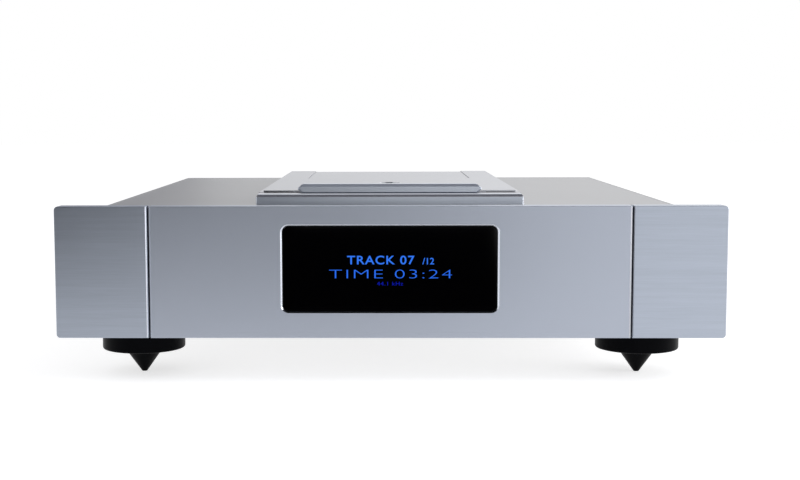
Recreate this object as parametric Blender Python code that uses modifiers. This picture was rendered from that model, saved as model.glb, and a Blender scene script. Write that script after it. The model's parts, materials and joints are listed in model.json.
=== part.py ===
"""Top-loading CD player with a sliding lid, on three pointed feet.

Lengths are metres. The root empty stands at the middle of the player's depth, on the plane of the foot tips.
Under it, x runs to the right, y runs back from the front face and z runs up from the foot tips.
"""

import math

import bmesh
import bpy
from mathutils import Matrix

# Gaps and overruns
SEAT_GAP = 0.0003
OVERRUN = 0.002
SCREW_MERGE = 0.00001
CAP_WELD = 0.000001
ROUND_STEPS = 36
MEDIUM_STEPS = 28
SMALL_STEPS = 18
FINE_STEPS = 12
CORNER_STEPS = 5
FILLET_STEPS = 3

# Feet
FOOT_HEIGHT = 0.029
FOOT_SIDE_INSET = 0.025
FOOT_FRONT_PLACE = 0.042
FOOT_REAR_INSET = 0.060
COLLAR_RADIUS = 0.02725
COLLAR_HEIGHT = 0.0127
COLLAR_ROUND = 0.002
CONE_RADIUS = 0.0128
CONE_TIP_RADIUS = 0.00135
SPIGOT_RADIUS = 0.008
SPIGOT_HEIGHT = 0.0062

# Front pieces
PANEL_WIDTH = 0.425
PANEL_HEIGHT = 0.084
PANEL_THICKNESS = 0.0125
PANEL_CORNER = 0.0035
PANEL_EDGE = 0.0006
CENTRE_WIDTH = 0.3047
GROOVE_WIDTH = 0.0012
WINDOW_WIDTH = 0.136
WINDOW_HEIGHT = 0.0548
WINDOW_BOTTOM = 0.0166
WINDOW_CORNER = 0.004
WINDOW_CHAMFER = 0.0012
WINDOW_RECESS = 0.0008
WINDOW_THICKNESS = 0.003
MODULE_MARGIN = 0.003
SUBFRAME_THICKNESS = 0.003
CABLE_SLOT_WIDTH = 0.030
CABLE_SLOT_HEIGHT = 0.008

# Case
CASE_DEPTH = 0.400
WING_OVERHANG = 0.0235
PANEL_RISE = 0.0015
SIDE_THICKNESS = 0.009
SIDE_RABBET = 0.003
SIDE_ROUND = 0.0045
COVER_THICKNESS = 0.003
BASE_THICKNESS = 0.003
REAR_THICKNESS = 0.003

# Lid deck, guide rails and disc well
DISC_RADIUS = 0.060
DISC_CLEARANCE = 0.0015
DECK_FRONT_PLACE = 0.030
DECK_REAR_MARGIN = 0.034
DECK_HEIGHT = 0.0067
DECK_CHAMFER = 0.0014
DECK_SHOULDER = 0.0044
RAIL_MARGIN = 0.003
RAIL_WIDTH = 0.0175
RAIL_DEPTH = 0.0023
RAIL_RISE = 0.0006
SCALLOP_COUNT = 4
SCALLOP_RADIUS = 0.011
SCALLOP_PLACE = 0.056
SCALLOP_DEPTH = 0.0047
WELL_FLANGE = 0.004
WELL_WALL = 0.002
WELL_HEIGHT = 0.006
WELL_HUB_HOLE = 0.008
WELL_FILLET = 0.001
SLOT_HALF_WIDTH = 0.006
SLOT_INNER_PLACE = 0.0165
SLOT_END_WALL = 0.0007

# Sliding lid and its handle
LID_FRONT_PLACE = 0.047
LID_SIDE_INSET = 0.0027
LID_FLANGE = 0.0009
WELL_FRONT_MARGIN = 0.0345
WELL_REAR_MARGIN = 0.004
DIMPLE_RADIUS = 0.008
DIMPLE_DEPTH = 0.0009
HANDLE_WIDTH = 0.120
HANDLE_DEPTH = 0.0105
HANDLE_HEIGHT = 0.006
HANDLE_LIFT = 0.0005
HANDLE_CHAMFER = 0.0008
HANDLE_POINT = 0.0026
HANDLE_FOOT_DEPTH = 0.0135
HANDLE_FOOT_HEIGHT = 0.0018
HANDLE_FOOT_INSET = 0.003

# Disc drive
HUB_RADIUS = 0.0155
HUB_HEIGHT = 0.0024
HUB_LIFT = 0.0045
HUB_NECK_RADIUS = 0.005
BOSS_RADIUS = 0.0072
BOSS_HEIGHT = 0.0022
BOSS_CHAMFER = 0.0008
PUCK_RADIUS = 0.017
PUCK_TOP_GAP = 0.0006
PUCK_CHAMFER = 0.001
SHAFT_RADIUS = 0.0015
SHAFT_LENGTH = 0.0145
SHAFT_END_GAP = 0.0005
MOTOR_RADIUS = 0.013
MOTOR_FLANGE = 0.0025
MOTOR_FLANGE_THICKNESS = 0.0012
MOTOR_HEIGHT = 0.015
MOTOR_RISE = 0.004
MOTOR_BOSS_RADIUS = 0.006
MOTOR_BOSS_HEIGHT = 0.002
CHASSIS_DROP = 0.0105
CHASSIS_THICKNESS = 0.003
CHASSIS_CORNER = 0.008
CHASSIS_SIDE_INSET = 0.0015
CHASSIS_FRONT_MARGIN = 0.0145
CHASSIS_REAR_MARGIN = 0.0005
GROMMET_SIDE_PLACE = 0.047
GROMMET_LENGTH_PLACE = 0.020
GROMMET_RADIUS = 0.005
GROMMET_WAIST = 0.0035
GROMMET_RIM = 0.0025
LENS_INNER_PLACE = 0.024
LENS_OUTER_PLACE = 0.056
ROD_RADIUS = 0.0015
ROD_PLACE = 0.016
ROD_LIFT = 0.005
LUG_HALF_WIDTH = 0.0027
LUG_DEPTH = 0.004
LUG_RISE = 0.0025
ROD_SEAT = 0.0025
SLED_HALF_WIDTH = 0.020
SLED_HALF_LENGTH = 0.009
SLED_LIFT = 0.002
SLED_HEIGHT = 0.007
SLED_STOP_GAP = 0.001
TURRET_RADIUS = 0.004
TURRET_RISE = 0.0014
LENS_RADIUS = 0.0026
LENS_THICKNESS = 0.0012
LENS_RIM = 0.0004

# Sled gears
GEAR_MODULE = 0.0008
GEAR_TEETH = 24
PINION_TEETH = 12
PRESSURE_ANGLE = math.radians(20)
ADDENDUM_SHARE = 0.8
DEDENDUM_SHARE = 1.05
BACKLASH = 0.00016
FLANK_STEPS = 2
RACK_BACK = 0.0038
RACK_EXTRA_TEETH = 2
GEAR_HEIGHT = 0.0036
GEAR_LIFT = 0.0022
GEAR_HUB_RADIUS = 0.0035
SLED_MOTOR_RADIUS = 0.0075
SLED_MOTOR_HEIGHT = 0.014
PINION_SHAFT_RADIUS = 0.001
PINION_SHAFT_REACH = 0.006

# Boards and power supply
BOARD_THICKNESS = 0.0016
BOARD_LIFT = 0.008
STANDOFF_RADIUS = 0.003
STANDOFF_INSET = 0.006
SERVO_WIDTH = 0.090
SERVO_DEPTH = 0.100
POWER_BOARD_DEPTH = 0.090
CONVERTER_DEPTH = 0.110
BOARD_REAR_MARGIN = 0.024
BOARD_SIDE_MARGIN = 0.008
CAPACITOR_RADIUS = 0.0125
CAPACITOR_HEIGHT = 0.035
CAPACITOR_ROUND = 0.001
CAPACITOR_PAIR_SHARE = 0.45
CAPACITOR_GAP = 0.010
CAPACITOR_FRONT_MARGIN = 0.020
SINK_WIDTH = 0.060
SINK_DEPTH = 0.020
SINK_HEIGHT = 0.030
SINK_BACK = 0.004
SINK_FIN = 0.0016
SINK_FINS = 9
SINK_REAR_MARGIN = 0.008
TOROID_RADIUS = 0.040
TOROID_HOLE = 0.013
TOROID_HEIGHT = 0.036
TOROID_ROUND = 0.009
TOROID_FRONT_MARGIN = 0.026
TOROID_SPACING = 0.090
CLAMP_RADIUS = 0.026
CLAMP_THICKNESS = 0.002
CLAMP_RIM = 0.0015
BOLT_RADIUS = 0.003
BOLT_HEAD_RADIUS = 0.006
BOLT_HEAD_HEIGHT = 0.004

# Rear sockets
INLET_SIDE_SHARE = -0.66
INLET_WIDTH = 0.030
INLET_HEIGHT = 0.058
INLET_FLANGE = 0.0025
INLET_CORNER = 0.003
INLET_BODY_WIDTH = 0.027
INLET_BODY_HEIGHT = 0.050
INLET_BODY_DEPTH = 0.020
CUTOUT_CLEARANCE = 0.0003
SOCKET_WIDTH = 0.024
SOCKET_HEIGHT = 0.0165
SOCKET_CHAMFER = 0.004
SOCKET_DEPTH = 0.016
SOCKET_DROP = 0.0145
DRAWER_WIDTH = 0.022
DRAWER_HEIGHT = 0.008
DRAWER_DEPTH = 0.014
DRAWER_DROP = -0.0025
DRAWER_NOTCH = 0.0015
DRAWER_NOTCH_WIDTH = 0.008
DRAWER_TRAVEL = 0.010
ROCKER_WIDTH = 0.021
ROCKER_HALF_HEIGHT = 0.0056
ROCKER_DROP = -0.0155
ROCKER_PIVOT_DEPTH = 0.0045
ROCKER_RISE = 0.0062
ROCKER_DISH = 0.0010
ROCKER_TAIL = 0.003
ROCKER_ROOM = 0.0068
ROCKER_TILT = math.radians(7)
BALANCED_HEIGHT_SHARE = 0.30
UNBALANCED_HEIGHT_SHARE = 0.72
ANALOGUE_SIDE_SHARES = (0.22, 0.47)
DIGITAL_SIDE_SHARE = 0.78
OPTICAL_SIDE_SHARE = 0.90
BALANCED_WIDTH = 0.026
BALANCED_TALL = 0.031
BALANCED_CORNER = 0.003
BALANCED_FLANGE = 0.002
BALANCED_BARREL = 0.0117
BALANCED_BORE = 0.0095
BALANCED_DEPTH = 0.015
BALANCED_BACK = 0.018
BALANCED_LIP = 0.0015
BALANCED_LIP_RISE = 0.001
JACK_RADIUS = 0.00415
JACK_REACH = 0.009
JACK_NUT_RADIUS = 0.0065
JACK_NUT_HEIGHT = 0.003
JACK_THREAD_RADIUS = 0.0044
JACK_BACK = 0.010
JACK_BACK_RADIUS = 0.0055
JACK_HOLE_RADIUS = 0.0016
JACK_HOLE_DEPTH = 0.008
JACK_CHAMFER = 0.0004
OPTICAL_WIDTH = 0.0125
OPTICAL_HEIGHT = 0.011
OPTICAL_FLANGE = 0.0015
OPTICAL_BODY_INSET = 0.001
OPTICAL_BACK = 0.012
OPTICAL_DOOR_INSET = 0.0022
OPTICAL_DOOR_DEPTH = 0.0008

# Worked-out places of the case
OVERALL_DEPTH = CASE_DEPTH + SEAT_GAP + JACK_NUT_HEIGHT + JACK_REACH
CASE_HALF_WIDTH = PANEL_WIDTH / 2 - WING_OVERHANG
CASE_TOP = FOOT_HEIGHT + PANEL_HEIGHT - PANEL_RISE
CASE_FRONT = PANEL_THICKNESS + SEAT_GAP
PLATE_HALF_WIDTH = CASE_HALF_WIDTH - SIDE_THICKNESS + SIDE_RABBET - SEAT_GAP
INNER_HALF_WIDTH = CASE_HALF_WIDTH - SIDE_THICKNESS - SEAT_GAP
COVER_BOTTOM = CASE_TOP - COVER_THICKNESS
BASE_TOP = FOOT_HEIGHT + BASE_THICKNESS
INNER_BOTTOM = BASE_TOP + SEAT_GAP
INNER_TOP = COVER_BOTTOM - SEAT_GAP
REAR_INSIDE = CASE_DEPTH - REAR_THICKNESS
SUBFRAME_BACK = CASE_FRONT + SUBFRAME_THICKNESS

# Worked-out places of the deck, the lid and the well
WELL_RADIUS = DISC_RADIUS + DISC_CLEARANCE
WELL_PLACE = LID_FRONT_PLACE + WELL_FRONT_MARGIN + WELL_RADIUS
DECK_BOTTOM = CASE_TOP + SEAT_GAP
DECK_TOP = DECK_BOTTOM + DECK_HEIGHT
DECK_REAR = CASE_DEPTH - DECK_REAR_MARGIN
RAIL_INNER = WELL_RADIUS + RAIL_MARGIN
RAIL_OUTER = RAIL_INNER + RAIL_WIDTH
DECK_HALF_WIDTH = RAIL_OUTER + DECK_SHOULDER
RAIL_TOP = DECK_TOP + RAIL_RISE
LID_BOTTOM = DECK_TOP + SEAT_GAP
LID_TOP = RAIL_TOP + SEAT_GAP + LID_FLANGE
LID_REAR = WELL_PLACE + WELL_RADIUS + WELL_REAR_MARGIN
WELL_TOP = DECK_BOTTOM - SEAT_GAP
WELL_BOTTOM = WELL_TOP - WELL_HEIGHT
WELL_FLOOR = WELL_BOTTOM + WELL_WALL
WELL_OUTER = WELL_RADIUS + WELL_FLANGE
HANDLE_FRONT = LID_FRONT_PLACE - HANDLE_LIFT - HANDLE_DEPTH

# Worked-out places of the drive
HUB_TOP = WELL_FLOOR + HUB_LIFT
PUCK_BOTTOM = HUB_TOP + SEAT_GAP
PUCK_TOP = LID_BOTTOM - PUCK_TOP_GAP
CHASSIS_TOP = WELL_BOTTOM - CHASSIS_DROP
CHASSIS_BOTTOM = CHASSIS_TOP - CHASSIS_THICKNESS
CHASSIS_HALF_WIDTH = WELL_RADIUS - CHASSIS_SIDE_INSET
CHASSIS_FRONT = WELL_PLACE - WELL_RADIUS - CHASSIS_FRONT_MARGIN
CHASSIS_REAR = WELL_PLACE + WELL_RADIUS + CHASSIS_REAR_MARGIN
MOTOR_TOP = CHASSIS_TOP + MOTOR_RISE
SLED_PLACE = WELL_PLACE - LENS_INNER_PLACE
SLED_TRAVEL = LENS_OUTER_PLACE - LENS_INNER_PLACE
SLED_BOTTOM = CHASSIS_TOP + SLED_LIFT
ROD_HEIGHT = CHASSIS_TOP + ROD_LIFT
ROD_REAR = SLED_PLACE + SLED_HALF_LENGTH + SLED_STOP_GAP
ROD_FRONT = SLED_PLACE - SLED_TRAVEL - SLED_HALF_LENGTH - SLED_STOP_GAP
GEAR_BOTTOM = CHASSIS_TOP + GEAR_LIFT
GEAR_PITCH_RADIUS = GEAR_MODULE * GEAR_TEETH / 2
PINION_PITCH_RADIUS = GEAR_MODULE * PINION_TEETH / 2
RACK_PITCH_LINE = SLED_HALF_WIDTH + RACK_BACK
GEAR_SIDE_PLACE = RACK_PITCH_LINE + GEAR_PITCH_RADIUS
GEAR_PLACE = SLED_PLACE - SLED_TRAVEL / 2
PINION_PLACE = GEAR_PLACE - GEAR_PITCH_RADIUS - PINION_PITCH_RADIUS

# Finishes: base colour, roughness and metallic value
BLASTED_ALUMINIUM = ("blasted_aluminium", (0.50, 0.52, 0.57), 0.42, 1.0)
BRUSHED_ALUMINIUM = ("brushed_aluminium", (0.50, 0.52, 0.56), 0.32, 1.0)
PAINTED_CASE = ("painted_case", (0.50, 0.50, 0.51), 0.45, 0.8)
BLACK_GLASS = ("black_glass", (0.01, 0.01, 0.012), 0.05, 0.0)
BLACK_DELRIN = ("black_delrin", (0.015, 0.015, 0.018), 0.38, 0.0)
BLACK_PLASTIC = ("black_plastic", (0.02, 0.02, 0.02), 0.40, 0.0)
BLACK_RUBBER = ("black_rubber", (0.02, 0.02, 0.02), 0.80, 0.0)
STEEL = ("steel", (0.55, 0.55, 0.56), 0.35, 1.0)
POLISHED_STEEL = ("polished_steel", (0.70, 0.70, 0.71), 0.12, 1.0)
BRASS = ("brass", (0.72, 0.55, 0.25), 0.25, 1.0)
WHITE_NYLON = ("white_nylon", (0.80, 0.80, 0.76), 0.45, 0.0)
CLEAR_LENS = ("clear_lens", (0.35, 0.45, 0.60), 0.05, 0.0)
GREEN_BOARD = ("green_board", (0.02, 0.10, 0.05), 0.50, 0.0)
COPPER_TAPE = ("copper_tape", (0.60, 0.33, 0.18), 0.40, 0.6)


def start_scene():
    """Clears the scene and makes the collections and the root empty."""
    for old in list(bpy.data.objects):
        bpy.data.objects.remove(old, do_unlink=True)
    parts = bpy.data.collections.new("cd_player")
    cutters = bpy.data.collections.new("cd_player_cutters")
    for collection in (parts, cutters):
        bpy.context.scene.collection.children.link(collection)
    root = bpy.data.objects.new("cd_player_root", None)
    root.location = (0, -OVERALL_DEPTH / 2, 0)
    parts.objects.link(root)
    return parts, cutters, root


PARTS, CUTTERS, ROOT = start_scene()


def finish_material(finish):
    """The Principled material of a finish, made once."""
    name, colour, roughness, metallic = finish
    known = bpy.data.materials.get(name)
    if known:
        return known
    made = bpy.data.materials.new(name)
    made.use_nodes = True
    shader = made.node_tree.nodes["Principled BSDF"]
    shader.inputs["Base Color"].default_value = (*colour, 1)
    shader.inputs["Roughness"].default_value = roughness
    shader.inputs["Metallic"].default_value = metallic
    made.diffuse_color = (*colour, 1)
    return made


def place(name, mesh, location, finish=None):
    """Puts a mesh in the scene: a part when it has a finish, otherwise a cutter or a piece to join."""
    made = bpy.data.objects.new(name, mesh)
    made.parent = ROOT
    made.location = location
    if finish:
        PARTS.objects.link(made)
        mesh.materials.append(finish_material(finish))
        return made
    CUTTERS.objects.link(made)
    made.hide_render = True
    made.display_type = "WIRE"
    return made


def shade_round(mesh):
    """Smooth shading, with sharp edges kept."""
    mesh.shade_smooth()
    mesh.set_sharp_from_angle(angle=math.radians(35))


def mesh_of(name, shape):
    """A mesh from a finished bmesh."""
    mesh = bpy.data.meshes.new(name)
    bmesh.ops.recalc_face_normals(shape, faces=shape.faces)
    shape.to_mesh(mesh)
    shape.free()
    return mesh


def block(name, x_span, y_span, z_span, finish=None):
    """A box between two x, two y and two z places."""
    shape = bmesh.new()
    bmesh.ops.create_cube(shape, size=1)
    spans = (x_span, y_span, z_span)
    bmesh.ops.scale(shape, vec=[high - low for low, high in spans], verts=shape.verts)
    centre = [(low + high) / 2 for low, high in spans]
    return place(name, mesh_of(name, shape), centre, finish)


def round_bar(name, radius, centre, length, along="z", finish=None, steps=SMALL_STEPS, end_radius=None):
    """A cylinder, or a cone with another end radius, centred at a place along x, y or z."""
    shape = bmesh.new()
    last = radius if end_radius is None else end_radius
    bmesh.ops.create_cone(shape, cap_ends=True, segments=steps, radius1=radius, radius2=last, depth=length)
    mesh = mesh_of(name, shape)
    shade_round(mesh)
    made = place(name, mesh, centre, finish)
    turns = {"x": (0, math.pi / 2, 0), "y": (-math.pi / 2, 0, 0), "z": (0, 0, 0)}
    made.rotation_euler = turns[along]
    return made


def turned(name, profile, location, finish=None, lying=False, steps=ROUND_STEPS, ring=False):
    """A profile of (radius, height) points turned about z, or about y when lying.

    The profile runs down its outer side. A ring's profile is a closed loop.
    """
    mesh = bpy.data.meshes.new(name)
    count = len(profile)
    edges = [(index, index + 1) for index in range(count - 1)]
    if ring:
        edges.append((count - 1, 0))
    mesh.from_pydata([(radius, 0, height) for radius, height in profile], edges, [])
    made = place(name, mesh, location, finish)
    if lying:
        made.rotation_euler = (-math.pi / 2, 0, 0)
    screw = made.modifiers.new("turn", "SCREW")
    screw.steps = steps
    screw.render_steps = steps
    screw.use_merge_vertices = True
    screw.merge_threshold = SCREW_MERGE
    screw.use_smooth_shade = False
    return made


def plate(name, outlines, span, facing="z", finish=None, shift=(0, 0)):
    """Flat outlines, the later ones holes, made solid between two places along an axis.

    Facing z the outline is (x, y), facing y it is (x, z) and facing x it is (y, z).
    """
    curve = bpy.data.curves.new(name + "_outline", "CURVE")
    curve.dimensions = "2D"
    curve.fill_mode = "BOTH"
    curve.extrude = abs(span[1] - span[0]) / 2
    for outline in outlines:
        spline = curve.splines.new("POLY")
        spline.points.add(len(outline) - 1)
        for point, (first, second) in zip(spline.points, outline):
            point.co = (first, second, 0, 1)
        spline.use_cyclic_u = True
    guide = bpy.data.objects.new(name + "_outline", curve)
    CUTTERS.objects.link(guide)
    bpy.context.view_layer.update()
    graph = bpy.context.evaluated_depsgraph_get()
    mesh = bpy.data.meshes.new_from_object(guide.evaluated_get(graph))
    bpy.data.objects.remove(guide, do_unlink=True)
    shape = bmesh.new()
    shape.from_mesh(mesh)
    bmesh.ops.remove_doubles(shape, verts=shape.verts, dist=CAP_WELD)
    mesh.clear_geometry()
    bmesh.ops.recalc_face_normals(shape, faces=shape.faces)
    shape.to_mesh(mesh)
    shape.free()
    shade_round(mesh)
    middle = (span[0] + span[1]) / 2
    first, second = shift
    spots = {"x": (middle, first, second), "y": (first, middle, second), "z": (first, second, middle)}
    quarter = math.pi / 2
    turns = {"x": (quarter, 0, quarter), "y": (quarter, 0, 0), "z": (0, 0, 0)}
    made = place(name, mesh, spots[facing], finish)
    made.rotation_euler = turns[facing]
    return made


def combine(target, tool, operation):
    """A Boolean between a part and a cutter or a joined piece."""
    step = target.modifiers.new(operation.lower(), "BOOLEAN")
    step.operation = operation
    step.solver = "EXACT"
    step.object = tool


def cut(target, *tools):
    for tool in tools:
        combine(target, tool, "DIFFERENCE")


def join(target, *tools):
    for tool in tools:
        combine(target, tool, "UNION")


def soften(target, width, steps=1, chosen=None):
    """Chamfers or rounds the sharp edges, or only those whose two ends pass the chosen test."""
    bevel = target.modifiers.new("edge", "BEVEL")
    bevel.width = width
    bevel.segments = steps
    bevel.limit_method = "ANGLE"
    if chosen is None:
        return
    bevel.limit_method = "WEIGHT"
    mesh = target.data
    weights = mesh.attributes.new("bevel_weight_edge", "FLOAT", "EDGE")
    for edge in mesh.edges:
        ends = [mesh.vertices[index].co for index in edge.vertices]
        weights.data[edge.index].value = float(chosen(*ends))


def rectangle(x_span, y_span):
    """The four corners between two pairs of places."""
    (left, right), (low, high) = x_span, y_span
    return [(left, low), (right, low), (right, high), (left, high)]


def arc(centre, radius, start, end, steps):
    """Points on an arc, with both ends."""
    angles = [start + (end - start) * index / steps for index in range(steps + 1)]
    return [(centre[0] + radius * math.cos(angle), centre[1] + radius * math.sin(angle)) for angle in angles]


def circle(centre, radius, steps=ROUND_STEPS):
    return arc(centre, radius, 0, math.tau, steps)[:-1]


def rounded_rectangle(x_span, y_span, radius, rounded=(1, 1, 1, 1)):
    """A rectangle with chosen corners rounded, from the lower left one, anticlockwise."""
    (left, right), (low, high) = x_span, y_span
    corners = [(left, low, 1, 1), (right, low, -1, 1), (right, high, -1, -1), (left, high, 1, -1)]
    points = []
    for index, (x, y, inward_x, inward_y) in enumerate(corners):
        if not rounded[index]:
            points.append((x, y))
            continue
        centre = (x + inward_x * radius, y + inward_y * radius)
        start = math.pi + index * math.pi / 2
        points += arc(centre, radius, start, start + math.pi / 2, CORNER_STEPS)
    return points


def about(centre, half):
    """The two places a half length either side of a centre."""
    return (centre - half, centre + half)


def make_feet():
    """Two front feet and one rear foot: a collar, and a cone whose spigot sits in the collar's bore."""
    collar_top = FOOT_HEIGHT - SEAT_GAP
    collar_bottom = collar_top - COLLAR_HEIGHT
    cone_top = collar_bottom - SEAT_GAP
    bore = SPIGOT_RADIUS + SEAT_GAP
    bore_top = cone_top + SPIGOT_HEIGHT + SEAT_GAP
    centre = (COLLAR_RADIUS - COLLAR_ROUND, collar_bottom + COLLAR_ROUND)
    rounding = arc(centre, COLLAR_ROUND, 0, -math.pi / 2, FILLET_STEPS)
    collar = [(0, collar_top), (COLLAR_RADIUS, collar_top), *rounding]
    collar += [(bore, collar_bottom), (bore, bore_top), (0, bore_top)]
    spigot_top = cone_top + SPIGOT_HEIGHT
    cone = [(0, spigot_top), (SPIGOT_RADIUS, spigot_top), (SPIGOT_RADIUS, cone_top), (CONE_RADIUS, cone_top)]
    cone += [(CONE_TIP_RADIUS, 0), (0, 0)]
    side = CASE_HALF_WIDTH - FOOT_SIDE_INSET
    places = {
        "front_left": (-side, FOOT_FRONT_PLACE),
        "front_right": (side, FOOT_FRONT_PLACE),
        "rear": (0, CASE_DEPTH - FOOT_REAR_INSET),
    }
    for where, (x, y) in places.items():
        turned(where + "_foot_collar", collar, (x, y, 0), BLACK_DELRIN)
        turned(where + "_foot_cone", cone, (x, y, 0), BLACK_DELRIN)


def make_front_panels():
    """The centre panel with its window opening, and the two wings past the grooves."""
    bottom, top = FOOT_HEIGHT, FOOT_HEIGHT + PANEL_HEIGHT
    half = CENTRE_WIDTH / 2
    window_low = bottom + WINDOW_BOTTOM
    window = rounded_rectangle(
        about(0, WINDOW_WIDTH / 2), (window_low, window_low + WINDOW_HEIGHT), WINDOW_CORNER
    )
    face = rectangle(about(0, half), (bottom, top))
    centre = plate("front_centre_panel", [face, window], (0, PANEL_THICKNESS), "y", BLASTED_ALUMINIUM)
    depth = PANEL_THICKNESS / 2
    soften(centre, PANEL_EDGE, 1, lambda a, b: min(a.z, b.z) > depth / 2 and on_outer_edge(a, b, half))
    window_edge = bevelled_window_cutter(window_low)
    cut(centre, window_edge)
    for where, side in (("left", -1), ("right", 1)):
        inner, outer = side * (half + GROOVE_WIDTH), side * PANEL_WIDTH / 2
        rounded = (side < 0, side > 0, side > 0, side < 0)
        wing_face = rounded_rectangle(sorted((inner, outer)), (bottom, top), PANEL_CORNER, rounded)
        wing = plate(where + "_front_wing", [wing_face], (0, PANEL_THICKNESS), "y", BRUSHED_ALUMINIUM)
        soften(wing, PANEL_EDGE)


def on_outer_edge(a, b, half):
    """True for an edge on the centre panel's outline, and false for one round its window."""
    inside = FOOT_HEIGHT + PANEL_EDGE, FOOT_HEIGHT + PANEL_HEIGHT - PANEL_EDGE
    return all(abs(end.x) > half - PANEL_EDGE or not inside[0] < end.y < inside[1] for end in (a, b))


def bevelled_window_cutter(window_low):
    """A tapered plug that chamfers the front edge of the window opening."""
    shape = bmesh.new()
    rings = []
    for depth, grow in ((-OVERRUN, WINDOW_CHAMFER + OVERRUN), (WINDOW_CHAMFER, 0)):
        outline = rounded_rectangle(
            about(0, WINDOW_WIDTH / 2 + grow),
            (window_low - grow, window_low + WINDOW_HEIGHT + grow),
            WINDOW_CORNER + grow,
        )
        rings.append([shape.verts.new((x, depth, z)) for x, z in outline])
    for ring in rings:
        shape.faces.new(ring)
    count = len(rings[0])
    for index in range(count):
        after = (index + 1) % count
        shape.faces.new((rings[0][index], rings[0][after], rings[1][after], rings[1][index]))
    return place("window_edge_cutter", mesh_of("window_edge_cutter", shape), (0, 0, 0))


def make_display():
    """The black glass window, the display module behind it, and the subframe that backs the front."""
    low = FOOT_HEIGHT + WINDOW_BOTTOM
    high = low + WINDOW_HEIGHT
    half = WINDOW_WIDTH / 2 - SEAT_GAP
    glass = rounded_rectangle(about(0, half), (low + SEAT_GAP, high - SEAT_GAP), WINDOW_CORNER - SEAT_GAP)
    glass_back = WINDOW_RECESS + WINDOW_THICKNESS
    plate("display_window", [glass], (WINDOW_RECESS, glass_back), "y", BLACK_GLASS)
    module_half = WINDOW_WIDTH / 2 - MODULE_MARGIN
    module_span = (low + MODULE_MARGIN, high - MODULE_MARGIN)
    module_front = glass_back + SEAT_GAP
    module_depth = (module_front, PANEL_THICKNESS)
    block("display_module", about(0, module_half), module_depth, module_span, BLACK_PLASTIC)
    middle = (low + high) / 2
    frame = rectangle(about(0, INNER_HALF_WIDTH), (INNER_BOTTOM, INNER_TOP))
    slot = rectangle(about(0, CABLE_SLOT_WIDTH / 2), about(middle, CABLE_SLOT_HEIGHT / 2))
    plate("front_subframe", [frame, slot], (CASE_FRONT, SUBFRAME_BACK), "y", STEEL)


def make_case():
    """Side panels from one extruded section, with the cover and the base plate set into their rabbets."""
    inner = CASE_HALF_WIDTH - SIDE_THICKNESS
    ledge = inner + SIDE_RABBET
    low_ledge = FOOT_HEIGHT + BASE_THICKNESS + SEAT_GAP
    high_ledge = CASE_TOP - COVER_THICKNESS - SEAT_GAP
    centre = (CASE_HALF_WIDTH - SIDE_ROUND, CASE_TOP - SIDE_ROUND)
    rounding = arc(centre, SIDE_ROUND, 0, math.pi / 2, CORNER_STEPS)
    section = [(ledge, FOOT_HEIGHT), (CASE_HALF_WIDTH, FOOT_HEIGHT), *rounding]
    section += [(ledge, CASE_TOP), (ledge, high_ledge), (inner, high_ledge)]
    section += [(inner, low_ledge), (ledge, low_ledge)]
    for where, side in (("left", -1), ("right", 1)):
        points = [(side * x, z) for x, z in section]
        plate(where + "_side_panel", [points], (CASE_FRONT, CASE_DEPTH), "y", PAINTED_CASE)
    face = rectangle(about(0, PLATE_HALF_WIDTH), (CASE_FRONT, CASE_DEPTH))
    hole = circle((0, WELL_PLACE), WELL_OUTER + SEAT_GAP)
    plate("top_cover", [face, hole], (COVER_BOTTOM, CASE_TOP), "z", PAINTED_CASE)
    plate("base_plate", [face], (FOOT_HEIGHT, BASE_TOP), "z", STEEL)


def make_deck():
    """The raised deck with the well opening, finger scallops and grooves for the two guide rails."""
    face = rectangle(about(0, DECK_HALF_WIDTH), (DECK_FRONT_PLACE, DECK_REAR))
    opening = circle((0, WELL_PLACE), WELL_RADIUS)
    deck = plate("lid_deck", [face, opening], (DECK_BOTTOM, DECK_TOP), "z", BRUSHED_ALUMINIUM)
    half = DECK_HEIGHT / 2

    def outer_top(a, b):
        radius = min(math.hypot(end.x, end.y - WELL_PLACE) for end in (a, b))
        return min(a.z, b.z) > half / 2 and radius > WELL_RADIUS + RAIL_MARGIN

    soften(deck, DECK_CHAMFER, 1, outer_top)
    for index in range(SCALLOP_COUNT):
        angle = math.tau * (index + 0.5) / SCALLOP_COUNT
        x, y = SCALLOP_PLACE * math.cos(angle), WELL_PLACE + SCALLOP_PLACE * math.sin(angle)
        low, high = DECK_TOP - SCALLOP_DEPTH, DECK_TOP + OVERRUN
        scallop = f"scallop_cutter_{index + 1}"
        spot = (x, y, (low + high) / 2)
        cut(deck, round_bar(scallop, SCALLOP_RADIUS, spot, high - low))
    groove_bottom = DECK_TOP - RAIL_DEPTH
    for where, side in (("left", -1), ("right", 1)):
        x_span = sorted((side * RAIL_INNER, side * RAIL_OUTER))
        y_span = (LID_FRONT_PLACE, DECK_REAR + OVERRUN)
        cut(deck, block(where + "_rail_cutter", x_span, y_span, (groove_bottom, DECK_TOP + OVERRUN)))
        rail_x = (x_span[0] + SEAT_GAP, x_span[1] - SEAT_GAP)
        rail_y = (LID_FRONT_PLACE + SEAT_GAP, DECK_REAR)
        rail_z = (groove_bottom + SEAT_GAP, RAIL_TOP)
        block(where + "_guide_rail", rail_x, rail_y, rail_z, BRUSHED_ALUMINIUM)


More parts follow.
